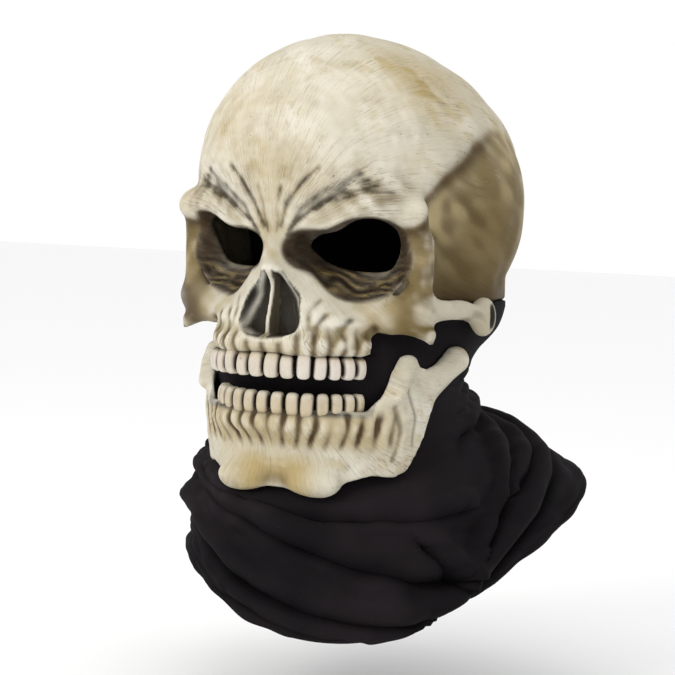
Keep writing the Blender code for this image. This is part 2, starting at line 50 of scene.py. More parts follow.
TOOTH_RINGS = 22
TOOTH_SIDES = 30

SKULL_STEP = 0.00125
JAW_STEP = 0.0011
SKULL_TRIANGLES = 186000
JAW_TRIANGLES = 120000
HOOD_COLUMNS = 300
HOOD_LEVELS = 230
OUTSIDE = 0.05
FAR = 1.0

HALF_WIDTH = SKULL_WIDTH / 2
HALF_LENGTH = SKULL_LENGTH / 2
CROWN_DROP = 0.0188
LEVEL_TOP = LATEX_WALL + CROWN_DROP * SKULL_HEIGHT

VAULT_BLEND = 0.016
TEMPLE_BLEND = 0.016
MASS_BLEND = 0.010
SOFT_BLEND = 0.006
EDGE_BLEND = 0.004
SHARP_BLEND = 0.002

# Cranium: centre x, y, drop, then radii
CRANIUM = (
    (0.00, 0.10, 0.381, 0.99, 0.86, 0.336),
    (0.00, -0.22, 0.322, 0.90, 0.77, 0.308),
)
TEMPLE = (1.20, -0.36, 0.475, 0.42, 0.42, 0.170)
LATEX_HEM_DROP = 0.588
STRAIGHT_DROP = 0.530

# Middle column of the face: drop, half width, front reach, middle
MUZZLE = (
    (0.370, 0.12, 0.83, -0.58),
    (0.455, 0.11, 0.89, -0.60),
    (0.530, 0.22, 0.93, -0.62),
    (0.575, 0.36, 0.945, -0.64),
    (0.625, 0.52, 0.975, -0.65),
    (0.690, 0.52, 0.985, -0.66),
)
MUZZLE_END_DROP = 0.692
MUZZLE_TOP_DROP = 0.36
MUZZLE_BACK = 0.002
GUM_LAP = 0.0005
# Room for the face: drop, half width, front reach, back reach
FACE_ROOM = (
    (0.36, 0.77, 0.84, 0.55),
    (0.46, 0.76, 0.74, 0.55),
    (0.57, 0.72, 0.71, 0.55),
    (0.80, 0.71, 0.71, 0.55),
)

# Bone rims: x, y, drop, radius as a share of the rim radius
BROW = (
    (0.05, -0.80, 0.464, 0.75),
    (0.16, -0.84, 0.443, 0.90),
    (0.36, -0.825, 0.408, 0.95),
    (0.58, -0.765, 0.386, 0.95),
    (0.76, -0.66, 0.392, 0.95),
)
OUTER_RIM = (
    (0.77, -0.65, 0.396, 0.95),
    (0.81, -0.595, 0.450, 0.90),
    (0.80, -0.585, 0.525, 1.05),
    (0.77, -0.59, 0.585, 1.25),
)
LOWER_RIM = (
    (0.77, -0.59, 0.590, 1.25),
    (0.62, -0.62, 0.607, 1.25),
    (0.46, -0.655, 0.612, 1.10),
    (0.30, -0.72, 0.595, 0.95),
    (0.17, -0.79, 0.548, 0.85),
    (0.11, -0.83, 0.500, 0.80),
)
CHEEK_HOOK = (
    (0.60, -0.60, 0.612, 1.05),
    (0.76, -0.585, 0.622, 1.10),
    (0.85, -0.575, 0.645, 0.75),
    (0.875, -0.585, 0.664, 0.40),
)
ARCH = (
    (0.80, -0.58, 0.592, 1.10),
    (0.90, -0.47, 0.592, 0.95),
    (0.935, -0.32, 0.595, 0.90),
    (0.935, -0.17, 0.607, 1.00),
)
NOSE_BRIDGE = (
    (0.00, -0.80, 0.415, 1.00),
    (0.00, -0.855, 0.465, 1.00),
    (0.00, -0.925, 0.517, 0.65),
)
NOSE_RIM = (
    (0.00, -0.940, 0.520, 0.45),
    (0.08, -0.925, 0.550, 0.45),
    (0.16, -0.895, 0.600, 0.48),
    (0.19, -0.885, 0.640, 0.50),
    (0.11, -0.930, 0.655, 0.50),
    (0.02, -0.975, 0.668, 0.50),
)
RIMS = (
    (BROW, 0.008),
    (OUTER_RIM, 0.008),
    (LOWER_RIM, 0.008),
    (NOSE_BRIDGE, 0.008),
    (CHEEK_HOOK, 0.005),
    (NOSE_RIM, 0.003),
    (ARCH, 0.005),
)
SOCKET = (
    (0.22, -0.80, 0.474, 0.165, 0.20, 0.040),
    (0.485, -0.745, 0.487, 0.285, 0.185, 0.086),
)
# Eye opening: x, drop, then radii
EYE_HOLE = (0.415, 0.452, 0.350, 0.067)
EYE_HOLE_END = -0.50
LID_MARGIN = 0.0015
SOCKET_LIP = (
    (0.10, -0.78),
    (0.45, -0.70),
    (0.80, -0.645),
)
NOSTRIL = (
    (0.045, -0.935, 0.538, 0.50),
    (0.090, -0.905, 0.585, 1.05),
    (0.105, -0.930, 0.626, 1.15),
)
# The nose opening from the front: x, drop corners
NOSE_OUTLINE = (
    (-0.20, 0.528),
    (0.030, 0.524),
    (0.085, 0.560),
    (0.135, 0.605),
    (0.168, 0.640),
    (0.120, 0.651),
    (0.040, 0.655),
    (-0.20, 0.665),
)
NOSE_DEPTH = -0.862
LID_SAG = 12.0
# The temporal line from the side: y, drop
TEMPORAL_LINE = (
    (-0.72, 0.420),
    (-0.63, 0.375),
    (-0.46, 0.305),
    (-0.24, 0.240),
    (0.00, 0.205),
    (0.30, 0.200),
    (0.60, 0.270),
    (0.72, 0.380),
)
EAR_KNOB = (0.935, -0.105, 0.612, 0.095, 0.105, 0.048)
EAR_HOLE = (1.02, -0.090, 0.610, 0.060, 0.042, 0.028)

UPPER_ARCH = {"edge": 0.741, "gum": 0.690, "width": 0.50, "front": 0.975, "middle": -0.665}
LOWER_ARCH = {"edge": 0.772, "gum": 0.818, "width": 0.475, "front": 0.900, "middle": -0.635}
ARCH_TURN = math.radians(82)
GUM_SHIFT = 0.020
LAST_ROOT = TEETH_PER_SIDE - 0.4
ROOT_START = 0.82
ROOT_SPREAD = 3.0

# Lower jaw: drop, half width, front reach, middle
JAW = (
    (0.692, 0.810, 0.920, -0.15),
    (0.755, 0.790, 0.905, -0.26),
    (0.818, 0.760, 0.900, -0.38),
    (0.880, 0.745, 0.872, -0.39),
    (0.945, 0.715, 0.848, -0.38),
    (1.000, 0.700, 0.845, -0.37),
)
JAW_OUTLINE = (
    (-1.10, 0.806),
    (-0.80, 0.806),
    (-0.72, 0.806),
    (-0.66, 0.775),
    (-0.61, 0.730),
    (-0.56, 0.696),
    (-0.50, 0.695),
    (-0.46, 0.714),
    (-0.41, 0.720),
    (-0.32, 0.712),
    (-0.21, 0.684),
    (-0.13, 0.688),
    (-0.14, 0.722),
    (-0.26, 0.758),
    (-0.33, 0.792),
    (-0.37, 0.830),
    (-0.44, 0.895),
    (-0.50, 0.938),
    (-0.57, 0.950),
    (-0.66, 0.945),
    (-0.75, 0.962),
    (-0.82, 0.980),
    (-1.10, 0.972),
)
CHIN_BUMP = (0.265, -0.810, 0.960, 0.150, 0.055, 0.030)
CONDYLE = (
    (0.755, -0.38, 0.757, 0.80),
    (0.785, -0.27, 0.730, 0.85),
    (0.800, -0.17, 0.706, 1.05),
)
CORONOID = (
    (0.68, -0.62, 0.775, 0.55),
    (0.69, -0.57, 0.735, 0.65),
    (0.69, -0.53, 0.708, 0.60),
)
JAW_SLOPE = (
    (0.00, -0.850, 0.855, 0.75),
    (0.28, -0.790, 0.855, 0.75),
    (0.46, -0.700, 0.850, 0.80),
    (0.54, -0.610, 0.840, 0.80),
    (0.62, -0.560, 0.825, 0.70),
)

FURROW_LIMIT = 0.0016
ROOT_DEPTH = 0.0010
TEMPLE_DEPTH = 0.0012
LOWER_ROOT_DEPTH = 0.0017
CHIN_DEPTH = 0.0016
LID_DEPTH = 0.0006
LID_WAVE = 0.0036
# Carved strokes on the front of the skull: depth, width, then x, drop stations
FURROWS = (
    (0.0016, 0.0016, ((0.10, 0.446), (0.19, 0.392), (0.36, 0.347), (0.52, 0.316))),
    (0.0012, 0.0013, ((0.17, 0.416), (0.31, 0.376), (0.44, 0.342), (0.56, 0.328))),
    (0.0010, 0.0012, ((0.27, 0.392), (0.43, 0.356), (0.60, 0.338))),
    (0.0012, 0.0014, ((0.06, 0.430), (0.11, 0.380), (0.21, 0.335), (0.30, 0.306))),
    (0.0009, 0.0011, ((0.03, 0.440), (0.05, 0.385), (0.08, 0.345))),
    (0.0009, 0.0011, ((0.40, 0.372), (0.55, 0.352), (0.68, 0.352))),
    (0.0012, 0.0018, ((0.31, 0.665), (0.30, 0.635), (0.33, 0.610))),
    (0.0014, 0.0020, ((0.41, 0.668), (0.41, 0.640), (0.45, 0.618))),
    (0.0014, 0.0020, ((0.50, 0.672), (0.51, 0.650), (0.56, 0.632))),
    (0.0009, 0.0015, ((0.26, 0.640), (0.25, 0.600), (0.28, 0.580))),
)
# Carved strokes on the side of the jaw and skull: depth, width, then y, drop stations
JAW_FURROWS = (
    (0.0010, 0.0016, ((-0.62, 0.80), (-0.58, 0.85), (-0.60, 0.91))),
    (0.0008, 0.0014, ((-0.55, 0.76), (-0.50, 0.82), (-0.50, 0.88))),
)

# Hood: drop in front, drop behind, then reach at 0, 45, 90, 135 and 180 degrees from the face
HOOD_AXIS = -0.10
HOOD_ROWS = (
    (0.360, 0.360, 0.68, 0.78, 0.90, 0.96, 0.96),
    (0.398, 0.398, 0.68, 0.79, 0.91, 0.98, 0.99),
    (0.462, 0.462, 0.66, 0.79, 0.92, 0.99, 1.00),
    (0.530, 0.530, 0.66, 0.77, 0.90, 0.98, 1.00),
    (0.582, 0.582, 0.67, 0.69, 0.86, 0.95, 0.96),
    (0.635, 0.640, 0.68, 0.68, 0.82, 0.90, 0.89),
    (0.690, 0.690, 0.68, 0.74, 0.76, 0.78, 0.76),
    (0.735, 0.735, 0.68, 0.76, 0.74, 0.67, 0.62),
    (0.780, 0.765, 0.66, 0.74, 0.74, 0.65, 0.60),
    (0.830, 0.785, 0.66, 0.70, 0.75, 0.70, 0.64),
    (0.890, 0.810, 0.67, 0.69, 0.75, 0.80, 0.70),
    (0.960, 0.830, 0.64, 0.68, 0.77, 0.88, 0.76),
)
COWL_TOP_DROP = 1.020
COWL_REAR_DROP = 0.845
COWL_REAR_SHARE = 0.22
COWL_ROWS = (
    (0.00, 0.00, 0.60, 0.62, 0.66, 0.70, 0.66),
    (0.16, 0.20, 0.66, 0.68, 0.71, 0.76, 0.70),
    (0.33, 0.36, 0.68, 0.69, 0.72, 0.82, 0.74),
    (0.51, 0.58, 0.70, 0.70, 0.75, 0.91, 0.80),
    (0.68, 0.74, 0.72, 0.71, 0.77, 0.99, 0.86),
    (0.85, 0.90, 0.74, 0.73, 0.79, 1.07, 0.92),
    (1.00, 1.00, 0.75, 0.73, 0.80, 1.10, 0.95),
)
# Window for the eyes: drop, then half width and half height
EYE_WINDOW = (0.464, 0.86, 0.075)

# Folds: height of the ridge, width, then turn in degrees and level in rows from the upper edge
FOLDS = (
    (0.0065, 0.0085, ((-76, 13.6), (-58, 13.1), (-37, 12.8), (-13, 12.8), (22, 14), (48, 15), (71, 16.3))),
    (0.0070, 0.0090, ((-80, 14.8), (-33, 15.4), (-14, 16.0), (25, 16.6), (50, 17.2), (66, 17.5))),
    (0.0070, 0.0085, ((66, 17.6), (82, 17.0), (90, 16.5), (110, 15.5), (128, 15.1), (158, 15.0))),
    (0.0060, 0.0060, ((58, 14.2), (66, 15.4), (71, 16.6))),
    (0.0060, 0.0070, ((84, 15.4), (92, 14.35), (98, 13.3), (112, 12.6), (140, 12.3))),
    (0.0040, 0.0070, ((-50, 12.1), (0, 12.1), (40, 12.5), (74, 13.2))),
    (0.0045, 0.0080, ((104, 14.2), (130, 13.8), (180, 13.6), (230, 13.8), (262, 14.4))),
    (0.0045, 0.0080, ((-96, 16.2), (-130, 15.8), (-180, 16.0))),
    (0.0030, 0.0065, ((84, 11.2), (110, 10.4), (150, 10.0), (200, 10.0), (250, 10.4), (276, 11.0))),
    (0.0025, 0.0055, ((80, 9.6), (112, 8.9), (160, 8.6), (210, 8.7), (250, 9.2))),
    (0.0025, 0.0050, ((88, 7.6), (120, 7.1), (170, 7.0), (230, 7.2), (262, 7.7))),
    (0.0030, 0.0060, ((-10, 17.2), (10, 17.5), (34, 17.7))),
)
# How much higher the hem hangs than an even one: turn in degrees, metres
HEM_LIFT = (
    (-180, 0.000),
    (-120, 0.008),
    (-70, 0.022),
    (-37, 0.026),
    (-13, 0.016),
    (12, 0.004),
    (53, -0.012),
    (85, -0.014),
    (107, -0.007),
    (127, -0.002),
    (180, 0.000),
)
FOLD_REACH = 0.085
LEVEL_STEP = 0.012
KNIT_STEP = 0.013
HEM_RIDGE = 0.0009
RIGHT_SLIMMING = 0.095
WAIST_SLIMMING = 0.15
NARROWEST = 0.45

# Ochre patches on the skull: x, y, drop, size in metres, strength
OCHRE_PATCHES = (
    (-0.30, -0.92, 0.22, 0.022, 0.85),
    (0.02, -0.96, 0.36, 0.026, 0.80),
    (0.62, -0.50, 0.10, 0.026, 0.75),
    (-0.65, -0.60, 0.25, 0.026, 0.45),
    (0.10, 0.60, 0.12, 0.045, 0.55),
    (-0.30, 0.90, 0.36, 0.040, 0.45),
)
PLUM_PATCH = (0.80, -0.62, 0.60, 0.011)


def shade(red, green, blue):
    """A linear colour from the values that a screen shows."""
    return tuple((value / 255) ** 2.2 for value in (red, green, blue))


IVORY = shade(194, 188, 170)
PALE = shade(222, 217, 203)
OCHRE = shade(166, 146, 98)
OLIVE = shade(98, 83, 50)
BROWN = shade(66, 50, 32)
UMBER = shade(22, 17, 13)
PLUM = shade(64, 52, 54)
LINING = shade(84, 77, 64)
TOOTH_PINK = shade(208, 199, 188)
TOOTH_TAN = shade(192, 178, 152)
JERSEY = shade(20, 18, 20)
JERSEY_WORN = shade(36, 32, 35)
LINT = shade(74, 68, 72)

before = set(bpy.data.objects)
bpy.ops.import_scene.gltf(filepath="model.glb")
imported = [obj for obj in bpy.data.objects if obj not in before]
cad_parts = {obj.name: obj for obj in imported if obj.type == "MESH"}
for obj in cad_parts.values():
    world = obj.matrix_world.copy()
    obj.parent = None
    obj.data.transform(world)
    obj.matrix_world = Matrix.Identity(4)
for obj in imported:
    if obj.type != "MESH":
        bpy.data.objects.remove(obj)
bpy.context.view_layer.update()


def height_at(drop):
    return LEVEL_TOP - drop * SKULL_HEIGHT


def drop_of(z):
    return (LEVEL_TOP - z) / SKULL_HEIGHT


def place(x, y, drop):
    return x * HALF_WIDTH, y * HALF_LENGTH, height_at(drop)


def shares_of(points):
    x, y, z = points
    return x / HALF_WIDTH, y / HALF_LENGTH, drop_of(z)


# Fields: the distance of each point from a form, negative inside it


def blend_union(first, second, reach):
    share = np.clip(0.5 + 0.5 * (second - first) / reach, 0.0, 1.0)
    return second * (1 - share) + first * share - reach * share * (1 - share)


def blend_cut(first, cutter, reach):
    return -blend_union(-first, cutter, reach)


def ellipsoid(points, row, grow=0.0):
    x, y, drop, rx, ry, rz = row
    centre = place(x, y, drop)
    radii = (rx * HALF_WIDTH + grow, ry * HALF_LENGTH + grow, rz * SKULL_HEIGHT + grow)
    parts = [(p - c) / r for p, c, r in zip(points, centre, radii)]
    size = np.sqrt(sum(p * p for p in parts))
    slope = np.sqrt(sum((p / r) ** 2 for p, r in zip(parts, radii)))
    return size * (size - 1) / np.maximum(slope, 1e-6)


def limb(points, stations, unit):
    """A chain of tapering round rods through stations of x, y, drop and a share of the unit radius."""
    best = None
    for start, end in zip(stations, stations[1:]):
        a = place(*start[:3])
        b = place(*end[:3])
        run = [q - p for p, q in zip(a, b)]
        length = sum(r * r for r in run)
        along = np.clip(sum((p - q) * r for p, q, r in zip(points, a, run)) / length, 0, 1)
        gap = np.sqrt(sum((p - q - along * r) ** 2 for p, q, r in zip(points, a, run)))
        radius = unit * (start[3] + (end[3] - start[3]) * along)
        best = gap - radius if best is None else np.minimum(best, gap - radius)
    return best


def column(points, rows, back=False):
    """A standing form whose level sections are ovals."""
    x, y, z = points
    drops = [row[0] for row in rows]
    drop = drop_of(z)
    wide = np.interp(drop, drops, [row[1] for row in rows]) * HALF_WIDTH
    ahead = np.interp(drop, drops, [row[2] for row in rows]) * HALF_LENGTH
    last = np.interp(drop, drops, [row[3] for row in rows]) * HALF_LENGTH
    if back:
        middle = 0.0
        deep = np.where(y < 0, ahead, last)
    else:
        middle = last
        deep = ahead + middle
    across = x / wide
    along = (y - middle) / deep
    size = np.sqrt(across**2 + along**2)
    slope = np.sqrt((across / wide) ** 2 + (along / deep) ** 2)
    return size * (size - 1) / np.maximum(slope, 1e-6)


def outline(points, corners, axis=1):
    """Distance from an outline seen from the side, or with axis 0 from the front, drawn straight through."""
    y, z = points[axis], points[2]
    shape = [(cy * (HALF_WIDTH, HALF_LENGTH)[axis], height_at(drop)) for cy, drop in corners]
    best = np.full(y.shape, FAR)
    inside = np.zeros(y.shape, bool)
    for (ay, az), (by, bz) in zip(shape, shape[1:] + shape[:1]):
        ry, rz = by - ay, bz - az
        along = np.clip(((y - ay) * ry + (z - az) * rz) / (ry * ry + rz * rz), 0, 1)
        best = np.minimum(best, np.hypot(y - ay - along * ry, z - az - along * rz))
        crossing = ((az <= z) != (bz <= z)) & (y < ay + (z - az) / (rz if rz else 1e-9) * ry)
        inside ^= crossing
    return np.where(inside, -best, best)


def arch_station(arch, turn):
    middle = arch["middle"]
    deep = arch["front"] + middle
    return arch["width"] * math.sin(turn), middle - deep * math.cos(turn)


def gum_chain(arch, away):
    steps = 8
    turns = [ARCH_TURN * i / steps for i in range(steps + 1)]
    return [(*arch_station(arch, turn), arch["gum"] + away, 1.0) for turn in turns]


def arch_phase(points, arch):
    """Count of teeth passed from the middle, going round a dental arch."""
    deep = (arch["front"] + arch["middle"]) * HALF_LENGTH
    ahead = (arch["middle"] * HALF_LENGTH - points[1]) / deep
    return np.arctan2(points[0] / (arch["width"] * HALF_WIDTH), ahead) / ARCH_TURN * TEETH_PER_SIDE


def between_teeth(phase):
    """One in the gap between two teeth, nothing at the middle of a tooth."""
    return 0.5 + 0.5 * np.cos(2 * math.pi * phase)


def upper_roots(points):
    """Strength of the grooves between the roots of the upper teeth."""
    return between_teeth(arch_phase(points, UPPER_ARCH)) ** 2


def lower_roots(points):
    """Strength of the grooves below the lower teeth, which spread as they run down."""
    phase = arch_phase(points, LOWER_ARCH) + (drop_of(points[2]) - ROOT_START) * ROOT_SPREAD
    return between_teeth(phase) ** 1.4 * (0.75 + 0.35 * lumps(points, 0.016, 7))


def path_distance(u, v, stations):
    """Distance in a plane from a path of stations, and the side of the path each point lies on."""
    best = np.full(np.shape(u), FAR)
    side = np.zeros(np.shape(u))
    for (au, av), (bu, bv) in zip(stations, stations[1:]):
        ru, rv = bu - au, bv - av
        along = np.clip(((u - au) * ru + (v - av) * rv) / (ru * ru + rv * rv), 0, 1)
        du, dv = u - au - along * ru, v - av - along * rv
        gap = np.hypot(du, dv)
        near = gap < best
        best = np.where(near, gap, best)
        side = np.where(near, np.sign(ru * dv - rv * du), side)
    return best, side


def window(values, low, high, soft):
    """One between two levels, falling smoothly to nothing outside them."""
    rise = np.clip((values - low) / soft + 0.5, 0, 1)
    fall = np.clip((high - values) / soft + 0.5, 0, 1)
    both = rise * fall
    return both * both * (3 - 2 * both)


def ramp(values, low, high):
    share = np.clip((values - low) / (high - low), 0, 1)
    return share * share * (3 - 2 * share)


def lumps(points, scale, seed):
    """A soft uneven field between about -1 and 1."""
    rng = np.random.default_rng(seed)
    total = 0
    for _ in range(7):
        way = rng.normal(size=3)
        way *= rng.uniform(0.6, 1.6) / scale / np.linalg.norm(way)
        phase = rng.uniform(0, 2 * math.pi)
        total = total + np.sin(sum(w * p for w, p in zip(way, points)) * 2 * math.pi + phase)
    return total / 3.2


def cranium(points, grow=0.0):
    x, y, z = points
    straight = (x, y, np.maximum(z, height_at(STRAIGHT_DROP)))
    first, second = (ellipsoid(straight, row, grow) for row in CRANIUM)
    vault = blend_union(first, second, VAULT_BLEND)
    return blend_cut(vault, ellipsoid(straight, TEMPLE, -grow), TEMPLE_BLEND)


def sockets(points):
    inner, main = (ellipsoid(points, row) for row in SOCKET)
    return blend_union(inner, main, SOFT_BLEND)


def eye_hole(points):
    x, _, z = points
    cx, drop, rx, rz = EYE_HOLE
    across = (x - cx * HALF_WIDTH) / (rx * HALF_WIDTH)
    size = np.hypot(across, (z - height_at(drop)) / (rz * SKULL_HEIGHT))
    lids = (size - 1) * min(rx * HALF_WIDTH, rz * SKULL_HEIGHT)
    flat = (x, np.full(x.shape, SOCKET[1][1] * HALF_LENGTH), z)
    opening = np.maximum(lids, sockets(flat) + LID_MARGIN)
    return np.maximum(opening, points[1] - EYE_HOLE_END * HALF_LENGTH)


def strokes(points, table, axis):
    """Depth carved by the strokes drawn on the front (axis 0) or the side (axis 1)."""
    half = (HALF_WIDTH, HALF_LENGTH)[axis]
    total = 0
    for depth, width, stations in table:
        path = [(u * half, height_at(drop)) for u, drop in stations]
        gap, _ = path_distance(points[axis], points[2], path)
        total = total + depth * np.exp(-((gap / width) ** 2))
    return total


def temporal(points):
    """Distance behind and below the temporal line, seen from the side, negative in front of it."""
    half = HALF_LENGTH
    path = [(y * half, height_at(drop)) for y, drop in TEMPORAL_LINE]
    gap, side = path_distance(points[1], points[2], path)
    return -gap * side


def nose_pit(points):
    flat = outline(points, NOSE_OUTLINE, axis=0)
    pit = np.maximum(flat, points[1] - NOSE_DEPTH * HALF_LENGTH)
    return np.maximum(pit, SEPTUM / 2 - points[0])


def lid_wrinkles(points):
    """Waves of the creased wall under the eye, sagging like the lower rim, between -1 and 1."""
    x, _, z = points
    bow = lid_bow(x, z)
    wave = np.sin(bow * 2 * math.pi / LID_WAVE + 3.4 * lumps(points, 0.020, 8))
    return wave * (0.6 + 0.4 * lumps(points, 0.009, 9))


def lid_bow(x, z):
    return z - LID_SAG * (x - SOCKET[1][0] * HALF_WIDTH) ** 2


def skull_relief(points):
    """How much is carved off the outside of the skull."""
    x, y, z = points
    drop = drop_of(z)
    face = ramp(-y, 0.45 * HALF_LENGTH, 0.60 * HALF_LENGTH)
    carved = strokes(points, FURROWS, 0) * face
    carved = FURROW_LIMIT * np.tanh(carved / FURROW_LIMIT)
    grooved = window(drop, 0.645, 0.700, 0.030) * face * (arch_phase(points, UPPER_ARCH) < LAST_ROOT)
    carved += ROOT_DEPTH * upper_roots(points) * grooved
    flank = ramp(x, 0.60 * HALF_WIDTH, 0.75 * HALF_WIDTH)
    carved += TEMPLE_DEPTH * ramp(temporal(points), -0.002, 0.004) * flank
    carved += 0.00035 * lumps(points, 0.022, 3)
    carved += 0.00018 * lumps(points, 0.007, 4) * face
    return carved


def muzzle_block(points):
    """The upper jaw, cut off above and behind."""
    muzzle = np.maximum(column(points, MUZZLE), points[2] - height_at(MUZZLE_TOP_DROP))
    return np.maximum(muzzle, points[1] - UPPER_ARCH["middle"] * HALF_LENGTH - MUZZLE_BACK)


def skull(points):
    z = points[2]
    gums = limb(points, gum_chain(UPPER_ARCH, -GUM_SHIFT), GUM_RADIUS)
    muzzle = muzzle_block(points)
    closed = cranium(points)
    whole = np.maximum(closed, height_at(LATEX_HEM_DROP) - z)
    cut = np.maximum(muzzle, height_at(MUZZLE_END_DROP) - z)
    closed = blend_union(closed, muzzle, MASS_BLEND)
    whole = blend_union(whole, blend_union(cut, gums, EDGE_BLEND), MASS_BLEND)
    rims = [(limb(points, chain, RIM_RADIUS), reach) for chain, reach in RIMS]
    rims.append((ellipsoid(points, EAR_KNOB), EDGE_BLEND))
    for rim, reach in rims:
        closed = blend_union(closed, rim, reach)
        whole = blend_union(whole, rim, reach)
    hollow = sockets(points)
    lip_x = [x * HALF_WIDTH for x, _ in SOCKET_LIP]
    lip_y = [y * HALF_LENGTH for _, y in SOCKET_LIP]
    cup = np.maximum(hollow - LATEX_WALL, np.interp(points[0], lip_x, lip_y) - points[1])
    closed = np.minimum(closed, cup)
    whole = blend_union(whole, cup, SHARP_BLEND)
    relief = skull_relief(points) * ramp(hollow, 0.002, 0.006)
    whole = whole + relief
    drop = drop_of(z)
    carving = hollow + LID_DEPTH * lid_wrinkles(points) * window(drop, 0.500, 0.580, 0.02)
    nostril = np.maximum(limb(points, NOSTRIL, RIM_RADIUS), SEPTUM / 2 - points[0])
    nostril = np.minimum(nostril, nose_pit(points))
    whole = blend_cut(whole, carving, EDGE_BLEND)
    whole = blend_cut(whole, nostril, SHARP_BLEND)
    whole = blend_cut(whole, ellipsoid(points, EAR_HOLE), SHARP_BLEND)
    room = blend_union(cranium(points, -LATEX_WALL), column(points, FACE_ROOM, back=True), SOFT_BLEND)
    room = blend_union(room, column(points, MUZZLE) + MUZZLE_WALL, EDGE_BLEND)
    room = np.maximum(room, closed + LATEX_WALL)
    room = room + relief + WALL_SPARE
    room = np.maximum(room, LATEX_WALL - np.minimum(hollow, nostril))
    room = np.maximum(room, -gums - GUM_LAP)
    whole = np.maximum(whole, -room)
    opening = np.maximum(eye_hole(points), np.minimum(hollow, closed + LATEX_WALL))
    return np.maximum(whole, -opening)


def jaw_relief(points):
    x, y, z = points
    drop = drop_of(z)
    front = y < -0.60 * HALF_LENGTH
    carved = LOWER_ROOT_DEPTH * lower_roots(points) * window(drop, 0.815, 0.874, 0.036) * front
    hollow = np.exp(-((x / 0.0085) ** 2)) * window(drop, 0.915, 1.02, 0.05) * front
    carved = carved + CHIN_DEPTH * hollow
    carved = carved + strokes(points, JAW_FURROWS, 1)
    carved += 0.00035 * lumps(points, 0.020, 5) + 0.00015 * lumps(points, 0.006, 6)
    return carved


def jaw(points):
    face = column(points, JAW)
    relief = jaw_relief(points)
    wall = np.maximum(face + relief, -(face + JAW_WALL + relief))
    form = blend_cut(wall, -outline(points, JAW_OUTLINE), SHARP_BLEND)
    form = blend_union(form, limb(points, CONDYLE, RIM_RADIUS), EDGE_BLEND)
    form = blend_union(form, limb(points, CORONOID, RIM_RADIUS), EDGE_BLEND)
    form = blend_union(form, limb(points, JAW_SLOPE, RIM_RADIUS) + relief, SOFT_BLEND)
    gums = limb(points, gum_chain(LOWER_ARCH, GUM_SHIFT), GUM_RADIUS)
    form = blend_union(form, gums + relief, SOFT_BLEND)
    return blend_union(form, ellipsoid(points, CHIN_BUMP) + 0.5 * relief, SOFT_BLEND)


def softened(values, times=1):
    for _ in range(times):
        for axis in range(3):
            padded = np.pad(values, [(1, 1) if k == axis else (0, 0) for k in range(3)], mode="edge")
            lower, upper = (np.take(padded, range(s, s + values.shape[axis]), axis) for s in (0, 2))
            values = (lower + 2 * values + upper) / 4
    return values


class Grid:
    """A field sampled on a box of points, even in x."""

    def __init__(self, field, low, high, step):
        half = int(math.ceil(high[0] / step)) + 2
        xs = (np.arange(half) + 0.5) * step
        ys = np.arange(low[1] - 2 * step, high[1] + 3 * step, step)
        zs = np.arange(low[2] - 2 * step, high[2] + 3 * step, step)
        values = field(np.meshgrid(xs, ys, zs, indexing="ij"))
        self.values = softened(np.concatenate((values[::-1], values)))
        self.axes = (np.concatenate((-xs[::-1], xs)), ys, zs)
        self.step = step

    def read(self, spots, values=None):
        """The field at any spots, and a large value outside the box."""
        values = self.values if values is None else values
        total = np.zeros(len(spots))
        places = [(spots[:, k] - self.axes[k][0]) / self.step for k in range(3)]
        outside = np.zeros(len(spots), bool)
        for k in range(3):
            outside |= (places[k] < 0) | (places[k] > values.shape[k] - 1.001)
        cells = [np.clip(np.floor(p).astype(int), 0, values.shape[k] - 2) for k, p in enumerate(places)]
        shares = [np.clip(p - c, 0, 1) for p, c in zip(places, cells)]
        for i in (0, 1):
            for j in (0, 1):
                for k in (0, 1):
                    weight = 1.0
                    for share, end in zip(shares, (i, j, k)):
                        weight = weight * (share if end else 1 - share)
                    total += weight * values[cells[0] + i, cells[1] + j, cells[2] + k]
        return np.where(outside, OUTSIDE, total)

    def surface(self, name):
        """A closed mesh on the zero level: one point a cell, one quad a crossing."""
        values = self.values
        total = np.zeros(tuple(n - 1 for n in values.shape) + (3,))
        count = np.zeros(total.shape[:3])
        crossings = []
        for axis in range(3):
            low_end = [slice(None)] * 3
            high_end = [slice(None)] * 3
            low_end[axis] = slice(0, -1)
            high_end[axis] = slice(1, None)
            first, second = values[tuple(low_end)], values[tuple(high_end)]
            where = np.argwhere((first < 0) != (second < 0))
            where = where[np.all((where > 0) | (np.arange(3) == axis), axis=1)]
            index = tuple(where.T)
            share = first[index] / (first[index] - second[index])
            spot = np.stack([self.axes[k][where[:, k]] for k in range(3)], 1)
            spot[:, axis] += share * self.step
            others = [k for k in range(3) if k != axis]
            corners = []
            for da, db in ((0, 0), (1, 0), (1, 1), (0, 1)):
                cell = where.copy()
                cell[:, others[0]] -= da
                cell[:, others[1]] -= db
                corners.append(cell)
                np.add.at(total, tuple(cell.T), spot)
                np.add.at(count, tuple(cell.T), 1)
            crossings.append((corners, (first[index] < 0) ^ (axis == 1)))
        used = count > 0
        number = np.full(count.shape, -1)
        number[used] = np.arange(used.sum())
        spots = total[used] / count[used][:, None]
        faces = []
        for corners, flip in crossings:
            quads = np.stack([number[tuple(cell.T)] for cell in corners], 1)
            quads[flip] = quads[flip][:, ::-1]
            faces.append(quads)
        return mesh_of(name, spots, np.concatenate(faces))


def mesh_of(name, spots, faces):
    mesh = bpy.data.meshes.new(name)
    mesh.from_pydata(spots, [], np.asarray(faces).tolist())
    mesh.update()
    return mesh


